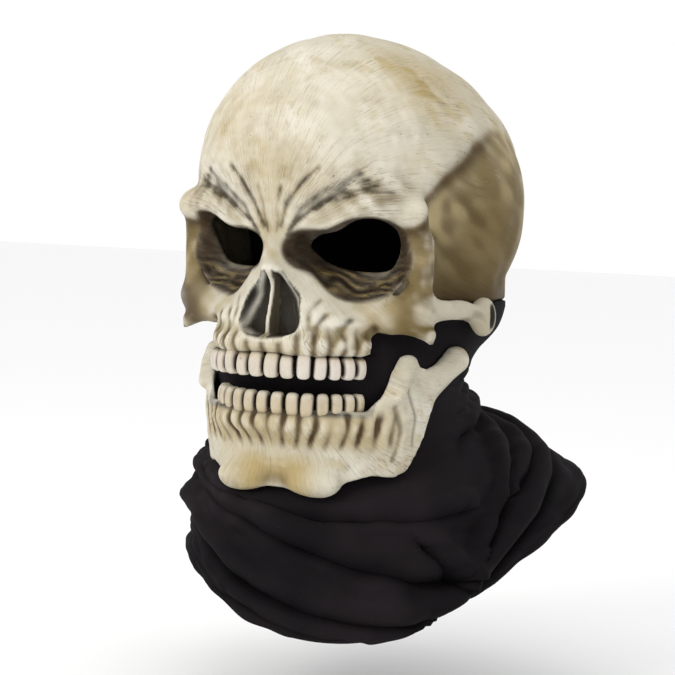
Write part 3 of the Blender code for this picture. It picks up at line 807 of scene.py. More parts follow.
def keep_largest(mesh):
    work = bmesh.new()
    work.from_mesh(mesh)
    work.verts.ensure_lookup_table()
    seen = set()
    groups = []
    for seed in work.verts:
        if seed in seen:
            continue
        group = [seed]
        seen.add(seed)
        for vert in group:
            for edge in vert.link_edges:
                other = edge.other_vert(vert)
                if other not in seen:
                    seen.add(other)
                    group.append(other)
        groups.append(group)
    groups.sort(key=len)
    for group in groups[:-1]:
        bmesh.ops.delete(work, geom=group, context="VERTS")
    bmesh.ops.recalc_face_normals(work, faces=work.faces)
    work.to_mesh(mesh)
    work.free()


def thinned(mesh, triangles):
    """The mesh brought down to a number of triangles, with its crumbs dropped."""
    keep_largest(mesh)
    item = bpy.data.objects.new("work", mesh)
    bpy.context.scene.collection.objects.link(item)
    thin = item.modifiers.new("Thin", "DECIMATE")
    thin.ratio = min(1.0, triangles / (2 * len(mesh.polygons)))
    graph = bpy.context.evaluated_depsgraph_get()
    made = bpy.data.meshes.new_from_object(item.evaluated_get(graph))
    bpy.data.objects.remove(item)
    made.shade_smooth()
    return made


def spots_of(mesh):
    flat = np.zeros(len(mesh.vertices) * 3, np.float32)
    mesh.vertices.foreach_get("co", flat)
    return flat.reshape(-1, 3).astype(float)


def put_values(mesh, name, values):
    values = np.asarray(values, np.float32)
    if values.ndim == 1:
        made = mesh.attributes.new(name, "FLOAT", "POINT")
        made.data.foreach_set("value", values)
    elif name == "paint":
        made = mesh.attributes.new(name, "FLOAT_COLOR", "POINT")
        full = np.ones((len(values), 4), np.float32)
        full[:, :3] = values
        made.data.foreach_set("color", full.ravel())
    else:
        made = mesh.attributes.new(name, "FLOAT_VECTOR", "POINT")
        made.data.foreach_set("vector", values.ravel())


def tint(paint, colour, amount):
    amount = np.clip(amount, 0, 1)[:, None]
    return paint * (1 - amount) + np.array(colour) * amount


def patch(spots, x, y, drop, size):
    """A soft round patch about a place on the skull, one at its middle."""
    centre = np.array(place(x, y, drop))
    return np.exp(-(((spots - centre) ** 2).sum(1) / (size * size)))


def cavity_of(grid, spots, times):
    """How deep each spot lies between its surroundings, in grid steps; negative on ridges."""
    blurred = softened(grid.values, times)
    return -(grid.read(spots, blurred) - grid.read(spots)) / grid.step


def closed_form(points):
    """The outside of the skull with nothing hollowed, used to tell its lining from its skin."""
    closed = blend_union(cranium(points), muzzle_block(points), MASS_BLEND)
    for chain, reach in RIMS:
        closed = blend_union(closed, limb(points, chain, RIM_RADIUS), reach)
    return closed


def worn_paint(points, spots, soft, small):
    """Ivory latex with pale bloom and ochre patches."""
    drop = drop_of(points[2])
    paint = np.tile(np.array(IVORY), (len(spots), 1))
    paint = tint(paint, PALE, 0.55 * ramp(soft, 0.0, 0.9))
    ochre = sum(strength * patch(spots, *spot) for *spot, strength in OCHRE_PATCHES)
    ochre += 0.45 * ramp(small + soft, 0.4, 1.5) + 0.25 * window(drop, 0.05, 0.22, 0.10)
    return tint(paint, OCHRE, 0.75 * ochre)


def paint_flank(paint, points, soft, small):
    """The temple behind the temporal line tinted ochre and olive, darker further back, lower down and in its
    hollow, with painted shade along the step of the line; the arch and the ear knob kept ivory.
    """
    sx, sy, drop = shares_of(points)
    behind = temporal(points)
    flank = ramp(sx, 0.55, 0.75) * (1 - ramp(-sy, 0.66, 0.76)) * (1 - 0.8 * ramp(sy, 0.15, 0.75))
    fossa = ramp(behind, -0.001, 0.005) * flank
    deep = ramp(behind, 0.010, 0.050) * flank
    paint = tint(paint, OCHRE, 0.75 * fossa)
    paint = tint(paint, OLIVE, 0.75 * fossa * ramp(soft + 0.6 * small, -1.2, 0.7))
    paint = tint(paint, OLIVE, 0.80 * deep)
    paint = tint(paint, BROWN, 0.45 * deep * ramp(sy, -0.15, 0.75))
    # Painted shade: a brown band just behind the carved step of the temporal line
    line = np.exp(-(((behind - 0.0045) / 0.0050) ** 2)) * flank * (1 - ramp(sy, -0.20, 0.10))
    paint = tint(paint, BROWN, 0.80 * line)
    pit = 1 - ramp(ellipsoid(points, TEMPLE, 0.004), -0.004, 0.006)
    paint = tint(paint, BROWN, 0.45 * pit * ramp(small, -0.6, 0.8) + 0.50 * pit * ramp(drop, 0.46, 0.58))
    arch = limb(points, ARCH, RIM_RADIUS)
    hem = ramp(drop, 0.500, 0.588) * (sy > -0.5) * (1 - ramp(arch, 0.006, 0.001))
    paint = tint(paint, BROWN, 0.70 * hem)
    knob = 1 - ramp(ellipsoid(points, EAR_KNOB), 0.0004, 0.0030)
    bony = np.maximum(1 - ramp(arch, 0.0004, 0.0030), knob)
    paint = tint(paint, IVORY, 0.85 * bony)
    return tint(paint, BROWN, 0.45 * bony * ramp(small + soft, 0.2, 1.3)), fossa


def paint_carving(paint, points, small, face, brow, gums):
    """An olive wash on the brow, ochre over the gums and lower cheeks, and painted shade under the
    cheekbones, in the carved furrows, in the grooves between the upper roots and along the gum line above
    the teeth.
    """
    sx, _, drop = shares_of(points)
    furrows = strokes(points, FURROWS, 0) / 0.0012 * face
    paint = tint(paint, OLIVE, 0.70 * brow * ramp(small, -1.0, 0.6))
    # Painted shade under the cheekbones, broken up by noise
    cheek_side = window(sx, 0.52, 0.80, 0.10) * window(drop, 0.60, 0.66, 0.05) * face
    paint = tint(paint, OLIVE, 0.45 * cheek_side * ramp(small, -0.6, 0.8))
    # Painted shade along the carved furrows of the brow and cheeks
    paint = tint(paint, UMBER, 0.80 * ramp(furrows + 0.25 * small, 0.25, 1.1))
    paint = tint(paint, OCHRE, 0.45 * gums)
    # Painted shade in the grooves between the roots of the upper teeth
    paint = tint(paint, BROWN, 0.75 * gums * upper_roots(points))
    # Painted shade: a dark band on the underside of the upper jaw, where the teeth hang
    paint = tint(paint, UMBER, 0.9 * ramp(drop, 0.686, 0.697) * face * (sx < 0.62))
    cheek_low = window(drop, 0.575, 0.640, 0.04) * window(sx, 0.22, 0.70, 0.15) * face
    return tint(paint, OCHRE, 0.35 * cheek_low * ramp(small, -0.5, 0.8))


def paint_sockets(paint, points, small, inside):
    """Painted shade over the inside of the eye sockets, with ochre along the creases of the lower lid."""
    drop = drop_of(points[2])
    low = inside * ramp(drop, 0.480, 0.515)
    wrinkles = lid_wrinkles(points)
    # Painted shade: the socket hollow laid brown, darker in patches
    paint = tint(paint, BROWN, 0.90 * inside)
    paint = tint(paint, UMBER, 0.45 * inside * ramp(small, -0.8, 0.6))
    paint = tint(paint, OCHRE, 0.50 * low * ramp(-wrinkles, 0.1, 1.0) * ramp(drop, 0.50, 0.53))
    return tint(paint, UMBER, 0.70 * low * ramp(wrinkles, -0.3, 0.7)), low


def paint_nose(paint, points, face):
    """The nose opening filled with painted shade, and a painted highlight along its raised edge."""
    drop = drop_of(points[2])
    nostril = np.minimum(limb(points, NOSTRIL, RIM_RADIUS), nose_pit(points))
    nose = (1 - ramp(nostril, 0.0008, 0.0018)) * (points[0] > 0.0016)
    # Painted shade: the nose pits laid near black
    paint = tint(paint, UMBER, 0.95 * nose)
    # Painted highlight: a pale ring just outside the nose outline
    edge = outline(points, NOSE_OUTLINE, axis=0)
    raised = np.exp(-(((edge - 0.0022) / 0.0011) ** 2)) * face * (drop > 0.50) * (drop < 0.67)
    return tint(paint, PALE, 0.8 * raised), nose


def paint_skull(mesh, grid):
    spots = spots_of(mesh)
    points = (np.abs(spots[:, 0]), spots[:, 1], spots[:, 2])
    x, _, z = points
    sx, sy, drop = shares_of(points)
    whole = tuple(spots.T)
    fine, broad = cavity_of(grid, spots, 2), cavity_of(grid, spots, 8)
    soft = lumps(whole, 0.040, 11)
    small = lumps(whole, 0.012, 12)
    face = ramp(-sy, 0.45, 0.62)
    brow = window(drop, 0.315, 0.40, 0.07) * window(sx, 0.08, 0.74, 0.15) * face
    gums = window(drop, 0.640, 0.72, 0.036) * face * (sx < 0.62)
    hollow = sockets(points)
    inside = (1 - ramp(hollow, 0.0012, 0.0036)) * face

    paint = worn_paint(points, spots, soft, small)
    paint, fossa = paint_flank(paint, points, soft, small)
    paint = paint_carving(paint, points, small, face, brow, gums)
    # Painted shade: brown laid into hollows and creases by how deep each spot lies among its surroundings
    paint = tint(paint, BROWN, 0.85 * ramp(fine, 0.04, 0.28) + 0.60 * ramp(broad, 0.15, 0.8))
    # Painted highlight: paler on the ridges and raised edges of the face
    paint = tint(paint, PALE, 0.75 * ramp(-fine, 0.06, 0.30) * face)
    paint, low = paint_sockets(paint, points, small, inside)
    paint, nose = paint_nose(paint, points, face)
    # Painted shade: the ear hole laid near black
    ear = 1 - ramp(ellipsoid(points, EAR_HOLE), 0.0003, 0.0016)
    paint = tint(paint, UMBER, 0.95 * ear)
    right_cheek = patch(np.abs(spots) * (1, -1, -1), *PLUM_PATCH) * ramp(-spots[:, 0], 0.0, 0.01)
    paint = tint(paint, PLUM, 0.75 * right_cheek)
    lining = ramp(-closed_form(points), 0.0016, 0.0026) * (hollow > 0.0024) * (1 - nose) * (1 - ear)
    paint = tint(paint, LINING, lining)

    arm = spots - np.array(place(0.0, -0.86, 0.452))
    fan = np.arctan2(arm[:, 0], arm[:, 2] + 0.35 * np.abs(arm[:, 1]))
    grain = np.stack((fan, np.linalg.norm(arm, axis=1), small * 0.1), 1)
    across = np.stack((lid_bow(x, z) / 0.13, x * 2.6, small * 0.1), 1)
    grain = np.where((inside > 0.5)[:, None], across, grain)
    streak = 0.40 + 0.75 * brow + 0.3 * soft + 0.8 * inside + 0.4 * gums + 0.5 * nose - 0.25 * fossa
    put_values(mesh, "paint", paint)
    put_values(mesh, "grain", grain)
    put_values(mesh, "streak", np.clip(streak, 0.1, 1) * (1 - lining))
    put_values(mesh, "gloss", 0.9 * low)


def paint_jaw(mesh, grid):
    spots = spots_of(mesh)
    points = (np.abs(spots[:, 0]), spots[:, 1], spots[:, 2])
    z = points[2]
    sx, sy, drop = shares_of(points)
    whole = tuple(spots.T)
    fine, broad = cavity_of(grid, spots, 2), cavity_of(grid, spots, 8)
    soft = lumps(whole, 0.035, 21)
    small = lumps(whole, 0.010, 22)
    face = ramp(-sy, 0.50, 0.68)

    paint = np.tile(np.array(IVORY), (len(spots), 1))
    paint = tint(paint, PALE, 0.5 * ramp(soft, 0.0, 0.9))
    centre = window(sx, -0.5, 0.26, 0.25) * window(drop, 0.905, 1.01, 0.06) * face
    paint = tint(paint, OCHRE, 0.90 * centre + 0.40 * ramp(small + soft, 0.4, 1.5))
    band = window(drop, 0.812, 0.885, 0.030) * face
    paint = tint(paint, OCHRE, 0.60 * band)
    # Painted shade in the grooves below the lower teeth
    paint = tint(paint, BROWN, 0.95 * band * ramp(lower_roots(points), 0.15, 0.75))
    # Painted shade: a dark band along the top of the jaw, where the lower teeth stand
    paint = tint(paint, UMBER, 0.9 * (1 - ramp(drop, 0.812, 0.826)) * face * (sx < 0.58))
    # Painted shade: brown laid into hollows and creases by how deep each spot lies among its surroundings
    paint = tint(paint, BROWN, 0.85 * ramp(fine, 0.04, 0.28) + 0.60 * ramp(broad, 0.15, 0.8))
    # Painted shade along the carved side furrows
    paint = tint(paint, BROWN, 0.60 * ramp(strokes(points, JAW_FURROWS, 1) / 0.001, 0.2, 1.0))
    # Painted shade down the middle of the chin, over its carved hollow
    paint = tint(paint, BROWN, 0.60 * centre * (1 - ramp(sx, 0.04, 0.15)) * ramp(drop, 0.925, 0.965))
    # Painted highlight: paler on the ridges and raised edges
    paint = tint(paint, PALE, 0.70 * ramp(-fine, 0.08, 0.36))
    back = -(column(points, JAW) + JAW_WALL)
    lining = (1 - ramp(-back, 0.0002, 0.0014)) * (1 - ramp(z, height_at(0.80), height_at(0.76)))
    paint = tint(paint, LINING, lining)

    arm = spots - np.array(place(0.0, -0.60, 0.66))
    fan = np.arctan2(arm[:, 0] * 0.8, -arm[:, 2])
    put_values(mesh, "paint", paint)
    put_values(mesh, "grain", np.stack((fan, np.linalg.norm(arm, axis=1), small * 0.1), 1))
    put_values(mesh, "streak", np.clip(0.45 + 0.3 * soft, 0.1, 1) * (1 - lining))
    put_values(mesh, "gloss", np.zeros(len(spots)))


CROWN_ROUNDNESS = 0.40
NECK_TAPER = 0.16
EDGE_FLARE = 0.04
EDGE_THINNING = 0.10
EDGE_CUP = 0.0006
FLUTE_DEPTH = 0.03
TOOTH_FILL = 0.97
WIDEST_TOOTH = 1.04
# Teeth from the middle outwards: shares of the usual width, height and thickness
UPPER_TEETH = (
    (1.10, 1.06, 1.00),
    (0.94, 0.96, 0.95),
    (1.00, 1.08, 1.10),
    (0.96, 0.96, 1.10),
    (0.96, 0.94, 1.15),
    (1.06, 0.92, 1.20),
    (0.98, 0.86, 1.15),
)
LOWER_TEETH = (
    (0.92, 0.96, 0.95),
    (0.96, 0.98, 0.95),
    (1.02, 1.04, 1.05),
    (1.00, 0.98, 1.10),
    (1.00, 0.96, 1.15),
    (1.08, 0.94, 1.20),
    (1.00, 0.90, 1.15),
)


def tooth_seat(arch, number):
    """Middle of a tooth on its arch, the way across it, and the width that it has."""
    half = ARCH_TURN / 2 / TEETH_PER_SIDE
    turn = ARCH_TURN * (number + 0.5) / TEETH_PER_SIDE
    near, far = (arch_station(arch, turn + side * half) for side in (-1, 1))
    cx, cy = arch_station(arch, turn)
    across = np.array(((far[0] - near[0]) * HALF_WIDTH, (far[1] - near[1]) * HALF_LENGTH))
    pitch = np.linalg.norm(across)
    return np.array((cx * HALF_WIDTH, cy * HALF_LENGTH)), across / pitch, pitch


def crown_point(polar, angle, number):
    """A point of a rounded crown: level from neck to edge, then how far across and outwards."""
    level = -math.cos(polar)
    body = abs(math.sin(polar)) ** CROWN_ROUNDNESS
    neck = 1.0 - NECK_TAPER * np.clip(-level, 0, 1) ** 1.5
    bite = 1.0 + EDGE_FLARE * level
    c, s = math.cos(angle), math.sin(angle)
    u = math.copysign(abs(c) ** 0.62, c) * body * neck * bite
    v = math.copysign(abs(s) ** 0.80, s) * body * (neck - EDGE_THINNING * max(level, 0) ** 2)
    flutes = 1 - FLUTE_DEPTH * math.cos(u * 9.5 + number) * max(s, 0)
    return level, u, v * flutes


def tube_faces(start, rings, around):
    faces = []
    for r in range(rings):
        for a in range(around):
            b = (a + 1) % around
            upper, lower = start + r * around, start + (r + 1) * around
            faces.append((upper + a, upper + b, lower + b, lower + a))
    return faces


def teeth(name, arch, table, seed):
    """A row of separate teeth, each a rounded crown that narrows to its neck in the gum."""
    rng = np.random.default_rng(seed)
    spots, faces, marks = [], [], []
    side_of_edge = 1 if arch["edge"] > arch["gum"] else -1
    edge_z = height_at(arch["edge"])
    for hand in (-1, 1):
        for i, (wide, tall, thick) in enumerate(table):
            centre, across, pitch = tooth_seat(arch, i)
            out = np.array((across[1], -across[0]))
            half_wide = pitch / 2 * TOOTH_FILL * min(wide, WIDEST_TOOTH)
            half_thick = TOOTH_THICKNESS / 2 * thick
            height = TOOTH_HEIGHT * tall
            lean = rng.uniform(-0.05, 0.05)
            faces += tube_faces(len(spots), TOOTH_RINGS, TOOTH_SIDES)
            for r in range(TOOTH_RINGS + 1):
                for a in range(TOOTH_SIDES):
                    angle = 2 * math.pi * a / TOOTH_SIDES
                    level, u, v = crown_point(math.pi * r / TOOTH_RINGS, angle, i)
                    rise = math.copysign(abs(level) ** 0.9, level) * height / 2 - height / 2
                    flat = centre + across * (u * half_wide + lean * rise) + out * (v * half_thick)
                    cup = EDGE_CUP * u * u if level > 0.6 else 0
                    spots.append((flat[0] * hand, flat[1], edge_z + side_of_edge * (-rise + cup)))
                    marks.append((level, u, i + rng.uniform(0, 0.001)))
    mesh = mesh_of(name, spots, faces)
    work = bmesh.new()
    work.from_mesh(mesh)
    layer = work.verts.layers.float_vector.new("mark")
    for vert, mark in zip(work.verts, marks):
        vert[layer] = mark
    bmesh.ops.remove_doubles(work, verts=work.verts, dist=0.00002)
    bmesh.ops.recalc_face_normals(work, faces=work.faces)
    work.to_mesh(mesh)
    work.free()
    mesh.shade_smooth()
    return mesh


def paint_teeth(mesh, base, seed):
    spots = spots_of(mesh)
    flat = np.zeros(len(spots) * 3, np.float32)
    mesh.attributes["mark"].data.foreach_get("vector", flat)
    level, across, number = flat.reshape(-1, 3).T
    whole = tuple(spots.T)
    soft = lumps(whole, 0.009, seed)
    paint = np.tile(np.array(base), (len(spots), 1))
    paint = tint(paint, PALE, 0.45 * ramp(level, 0.1, 0.9) + 0.15 * ramp(soft, 0, 1))
    paint = tint(paint, OCHRE, 0.35 * (1 - ramp(level, -0.75, -0.2)) + 0.12 * ramp(soft, 0.2, 1))
    # Painted shade at the neck, where each tooth goes into the gum
    paint = tint(paint, BROWN, 0.85 * (1 - ramp(level, -0.92, -0.60)))
    # Painted shade at the sides, between neighbouring teeth
    paint = tint(paint, BROWN, 0.55 * ramp(np.abs(across), 0.66, 0.86))
    paint = tint(paint, UMBER, 0.92 * ramp(np.abs(across), 0.82, 0.94))
    put_values(mesh, "paint", paint)
    put_values(mesh, "grain", np.stack((across * 0.4 + number, level * 0.02, soft * 0.1), 1))
    put_values(mesh, "streak", np.full(len(spots), 0.25))
    put_values(mesh, "gloss", np.full(len(spots), 0.35))


# Hood


def reach_curve(shares, turns):
    """Smooth even curve through the reaches at 0, 45, 90, 135 and 180 degrees."""
    quarter = math.pi / 4
    count = shares.shape[-1] - 1
    waves = np.array([[math.cos(k * quarter * n) for n in range(count + 1)] for k in range(count + 1)])
    weights = np.linalg.solve(waves, shares.T).T
    return sum(weights[:, n : n + 1] * np.cos(n * turns) for n in range(count + 1))


def smooth_rows(table, levels):
    """Rows read at any level between the first and the last, along smooth curves."""
    rows = np.array(table, float)
    low = np.clip(np.floor(levels).astype(int), 0, len(rows) - 2)
    t = (levels - low)[:, None]
    padded = np.concatenate((2 * rows[:1] - rows[1:2], rows, 2 * rows[-1:] - rows[-2:-1]))
    a, b, c, d = (padded[low + k] for k in range(4))
    return 0.5 * (2 * b + (c - a) * t + (2 * a - 5 * b + 4 * c - d) * t**2 + (3 * b - a - 3 * c + d) * t**3)


def hood_rows():
    """Every row in metres: height in front and behind, then five reaches across and five along."""
    made = []
    for row in HOOD_ROWS:
        wide = [share * HALF_WIDTH for share in row[2:]]
        deep = [share * HALF_LENGTH for share in row[2:]]
        made.append((height_at(row[0]), height_at(row[1]), *wide, *deep))
    for row in COWL_ROWS:
        front = height_at(COWL_TOP_DROP) - row[0] * COWL_DROP
        rear = height_at(COWL_REAR_DROP) - row[1] * COWL_DROP * COWL_REAR_SHARE
        reach = [share * COWL_RADIUS for share in row[2:]]
        made.append((front, rear, *reach, *reach))
    return made


def fold_depth(turns, levels):
    """How far the folds stand out from, or sink into, the even cloth."""
    total = np.zeros(levels.shape)
    for height, width, stations in FOLDS:
        for lap in (-360, 0, 360):
            path = [(math.radians(d + lap) * FOLD_REACH, level * LEVEL_STEP) for d, level in stations]
            gap, side = path_distance(turns * FOLD_REACH, levels * LEVEL_STEP, path)
            signed = gap * side / width
            ridge = np.exp(-(((signed + 0.80) / 0.70) ** 2)) * 0.85
            valley = np.exp(-(((signed - 0.30) / 0.38) ** 2)) * 0.95
            total += height * (ridge - valley)
    return total


def outward(rings, turns):
    """Unit normals of a tube of rings, pointing away from its axis."""
    around = np.roll(rings, -1, 1) - np.roll(rings, 1, 1)
    down = np.gradient(rings, axis=0)
    normal = np.cross(around, down)
    normal /= np.maximum(np.linalg.norm(normal, axis=-1, keepdims=True), 1e-12)
    away = np.stack((np.sin(turns), -np.cos(turns), np.zeros(turns.shape)), -1)
    facing = np.sign((normal * away).sum(-1))
    return normal * np.where(facing == 0, 1, facing)[..., None]


def even_hood():
    """The hood without folds, in rings of points, with the turn and the level of each point."""
    rows = hood_rows()
    levels = np.linspace(0, len(rows) - 1, HOOD_LEVELS)
    table = smooth_rows(rows, levels)
    turns = np.linspace(-math.pi, math.pi, HOOD_COLUMNS, endpoint=False)[None, :]
    degrees = np.degrees(turns)
    swing = (1 - np.cos(turns)) / 2
    cowl = ramp(levels, len(HOOD_ROWS) - 1.5, len(rows) - 1.0)[:, None]
    lift = np.interp(degrees, [turn for turn, _ in HEM_LIFT], [up for _, up in HEM_LIFT])
    sloping = ramp(levels, 10.8, 13.0)[:, None]
    waist = np.exp(-(((levels - 11.2) / 1.1) ** 2))[:, None]
    slim = 1 - RIGHT_SLIMMING * np.exp(-(((degrees + 70) / 45) ** 2)) * sloping
    slim = slim - WAIST_SLIMMING * waist * ramp(-np.cos(turns), -0.15, 0.45)
    z = table[:, :1] * (1 - swing) + table[:, 1:2] * swing + lift * cowl
    x = reach_curve(table[:, 2:7], turns) * np.sin(turns) * slim
    y = HOOD_AXIS * HALF_LENGTH - reach_curve(table[:, 7:12], turns) * np.cos(turns) * slim
    turns = np.broadcast_to(turns, z.shape)
    return np.stack((x, y, z), -1), turns, np.broadcast_to(levels[:, None], z.shape)


def folded(rings, turns, levels):
    """The rings with the folds, the slack of the cloth and the ridge of the hem."""
    flat = (turns * FOLD_REACH * 0.5, levels * LEVEL_STEP * 1.3, 0.3 * np.cos(turns) * FOLD_REACH)
    neck = ramp(levels, 5.0, 8.0) * ramp(-np.cos(turns), -0.3, 0.4)
    loose = np.maximum(ramp(levels, 11.2, 12.6), 0.9 * neck)
    out = fold_depth(turns, levels) * loose
    out = out + (0.0016 * lumps(flat, 0.026, 31) + 0.0007 * lumps(flat, 0.011, 32)) * loose
    from_hem = len(HOOD_ROWS) + len(COWL_ROWS) - 1 - levels
    ridge = np.exp(-(((from_hem - 0.25) / 0.10) ** 2))
    groove = np.exp(-(((from_hem - 0.75) / 0.07) ** 2))
    out = out + HEM_RIDGE * (ridge - 0.6 * groove)
    return rings + outward(rings, turns) * out[..., None]


def draw_in(rings, castings):
    """Moves rings of the hood towards its axis until they are clear of the castings."""
    axis = np.array((0.0, HOOD_AXIS * HALF_LENGTH))
    steps = np.linspace(NARROWEST, 1.0, 83)
    arms = rings[..., :2] - axis
    trial = axis + arms[..., None, :] * steps[:, None]
    heights = np.broadcast_to(rings[..., 2][..., None], trial.shape[:-1])
    spots = np.concatenate((trial, heights[..., None]), -1).reshape(-1, 3)
    free = np.minimum(*(grid.read(spots) for grid in castings)).reshape(trial.shape[:-1])
    blocked = free < HOOD_CLEARANCE
    first = np.where(blocked.any(-1), np.argmax(blocked, -1), len(steps))
    share = steps[np.clip(first - 1, 0, len(steps) - 1)]
    most = share.copy()
    for _ in range(5):
        mean = (np.roll(share, 1, 1) + np.roll(share, -1, 1)) / 4 + share / 2
        share = np.minimum(mean, most)
    rings[..., :2] = axis + arms * share[..., None]


def seen_through(middle):
    """Whether the middle of a face lies in the window for the eyes."""
    drop, rx, rz = EYE_WINDOW
    across = middle[:, 0] / (rx * HALF_WIDTH)
    upwards = (middle[:, 2] - height_at(drop)) / (rz * SKULL_HEIGHT)
    return (middle[:, 1] < 0) & (across**4 + upwards**4 < 1)


def hood_mesh(castings):
    rings, turns, levels = even_hood()
    rings = folded(rings, turns, levels)
    last = int(np.searchsorted(levels[:, 0], len(HOOD_ROWS) + 2.5))
    draw_in(rings[:last], castings)
    number = np.arange(rings.shape[0] * rings.shape[1]).reshape(rings.shape[:2])
    upper, lower = number[:-1], number[1:]
    quads = np.stack((upper, lower, np.roll(lower, -1, 1), np.roll(upper, -1, 1)), -1).reshape(-1, 4)
    flat = rings.reshape(-1, 3)
    quads = quads[~seen_through(flat[quads].mean(1))]
    mesh = mesh_of("hood", flat, quads)
    run = (turns * FOLD_REACH).reshape(-1)
    fall = (levels * KNIT_STEP).reshape(-1)
    put_values(mesh, "cloth", np.stack((run, fall, np.zeros(len(run))), 1))
    work = bmesh.new()
    work.from_mesh(mesh)
    bmesh.ops.delete(work, geom=[v for v in work.verts if not v.link_faces], context="VERTS")
    bmesh.ops.recalc_face_normals(work, faces=work.faces)
    work.to_mesh(mesh)
    work.free()
    mesh.shade_smooth()
    return mesh


# Materials


class Nodes:
    """Short calls for building a shader."""

    def __init__(self, name):
        self.material = bpy.data.materials.new(name)
        self.material.use_nodes = True
        self.tree = self.material.node_tree
        self.shader = self.tree.nodes["Principled BSDF"]

    def link(self, source, target):
        self.tree.links.new(source, target)

    def attribute(self, name):
        node = self.tree.nodes.new("ShaderNodeAttribute")
        node.attribute_name = name
        return node

    def scaled(self, vector, scale):
        node = self.tree.nodes.new("ShaderNodeMapping")
        node.inputs["Scale"].default_value = scale
        self.link(vector, node.inputs["Vector"])
        return node.outputs["Vector"]

    def noise(self, vector, scale, detail=3.0, roughness=0.55):
        node = self.tree.nodes.new("ShaderNodeTexNoise")
        node.inputs["Scale"].default_value = scale
        node.inputs["Detail"].default_value = detail
        node.inputs["Roughness"].default_value = roughness
        self.link(vector, node.inputs["Vector"])
        return node.outputs["Fac"]

    def ramp(self, value, low, high, first=0.0, second=1.0):
        node = self.tree.nodes.new("ShaderNodeMapRange")
        node.interpolation_type = "SMOOTHSTEP"
        for key, number in (("From Min", low), ("From Max", high), ("To Min", first), ("To Max", second)):
            node.inputs[key].default_value = number
        self.link(value, node.inputs["Value"])
        return node.outputs["Result"]

    def maths(self, kind, first, second):
        node = self.tree.nodes.new("ShaderNodeMath")
        node.operation = kind
        for socket, value in zip(node.inputs, (first, second)):
            if isinstance(value, (int, float)):
                socket.default_value = value
            else:
                self.link(value, socket)
        return node.outputs["Value"]

    def times(self, first, second):
        return self.maths("MULTIPLY", first, second)

    def bands(self, vector, direction, scale, distortion):
        node = self.tree.nodes.new("ShaderNodeTexWave")
        node.wave_type = "BANDS"
        node.bands_direction = direction
        node.inputs["Scale"].default_value = scale
        node.inputs["Distortion"].default_value = distortion
        self.link(vector, node.inputs["Vector"])
        return node.outputs["Fac"]

    def space(self):
        return self.tree.nodes.new("ShaderNodeTexCoord").outputs["Object"]

    def mix(self, amount, first, second):
        node = self.tree.nodes.new("ShaderNodeMix")
        node.data_type = "RGBA"
        self.link(amount, node.inputs["Factor"])
        for key, value in (("A", first), ("B", second)):
            socket = [s for s in node.inputs if s.name == key and s.type == "RGBA"][0]
            if isinstance(value, tuple):
                socket.default_value = (*value, 1.0)
            else:
                self.link(value, socket)
        return [s for s in node.outputs if s.type == "RGBA"][0]

    def bump(self, height, distance, strength=1.0, before=None):
        node = self.tree.nodes.new("ShaderNodeBump")
        node.inputs["Distance"].default_value = distance
        node.inputs["Strength"].default_value = strength
        self.link(height, node.inputs["Height"])
        if before is not None:
            self.link(before, node.inputs["Normal"])
        return node.outputs["Normal"]


def latex_material(name, lines, roughness, shine):
    """Painted latex: fine hairs along the grain, stains, dark specks and a matt sheen."""
    made = Nodes(name)
    paint = made.attribute("paint").outputs["Color"]
    grain = made.attribute("grain").outputs["Vector"]
    streak = made.attribute("streak").outputs["Fac"]
    gloss = made.attribute("gloss").outputs["Fac"]
    space = made.space()
    hairs = made.noise(made.scaled(grain, (lines, 26.0, 8.0)), 1.0, 4.0, 0.62)
    wisps = made.noise(made.scaled(grain, (lines * 0.45, 14.0, 8.0)), 1.0, 4.0, 0.6)
    threads = made.noise(made.scaled(grain, (lines * 2.1, 34.0, 8.0)), 1.0, 3.0, 0.6)
    mottle = made.noise(space, 60.0, 5.0, 0.6)
    cloud = made.noise(space, 22.0, 3.0, 0.5)
    pits = made.tree.nodes.new("ShaderNodeTexVoronoi")
    pits.inputs["Scale"].default_value = 240.0
    made.link(space, pits.inputs["Vector"])
    dots = made.ramp(pits.outputs["Distance"], 0.04, 0.16, 1.0, 0.0)
    specks = made.times(dots, made.ramp(mottle, 0.56, 0.66))

    dark_hair = made.times(made.ramp(hairs, 0.52, 0.70), streak)
    light_hair = made.times(made.ramp(wisps, 0.54, 0.72), streak)
    tone = made.tree.nodes.new("ShaderNodeRGBToBW")
    made.link(paint, tone.inputs["Color"])
    clean = made.ramp(tone.outputs["Val"], 0.10, 0.38)
    stain = made.times(made.ramp(cloud, 0.42, 0.68), clean)
    light_hair = made.times(light_hair, made.maths("ADD", made.times(clean, 0.30), 0.05))
    colour = made.mix(made.times(stain, 0.26), paint, OCHRE)
    colour = made.mix(light_hair, colour, PALE)
    colour = made.mix(made.times(dark_hair, 0.62), colour, BROWN)
    dark_thread = made.times(made.ramp(threads, 0.55, 0.70), streak)
    colour = made.mix(made.times(dark_thread, 0.50), colour, UMBER)
    worn = made.times(made.ramp(mottle, 0.50, 0.74), clean)
    colour = made.mix(made.times(worn, 0.20), colour, OLIVE)
    colour = made.mix(made.times(specks, 0.55), colour, UMBER)
    made.link(colour, made.shader.inputs["Base Color"])
    rough = made.ramp(mottle, 0.3, 0.7, roughness - 0.08, roughness + 0.10)
    rough = made.maths("SUBTRACT", rough, made.times(gloss, 0.30))
    made.link(rough, made.shader.inputs["Roughness"])
    normal = made.bump(hairs, 0.0006, 0.55)
    normal = made.bump(mottle, 0.0005, 0.45, normal)
    normal = made.bump(made.times(specks, -1.0), 0.0006, 0.6, normal)
    made.link(normal, made.shader.inputs["Normal"])
    made.shader.inputs["Specular IOR Level"].default_value = shine
    return made.material


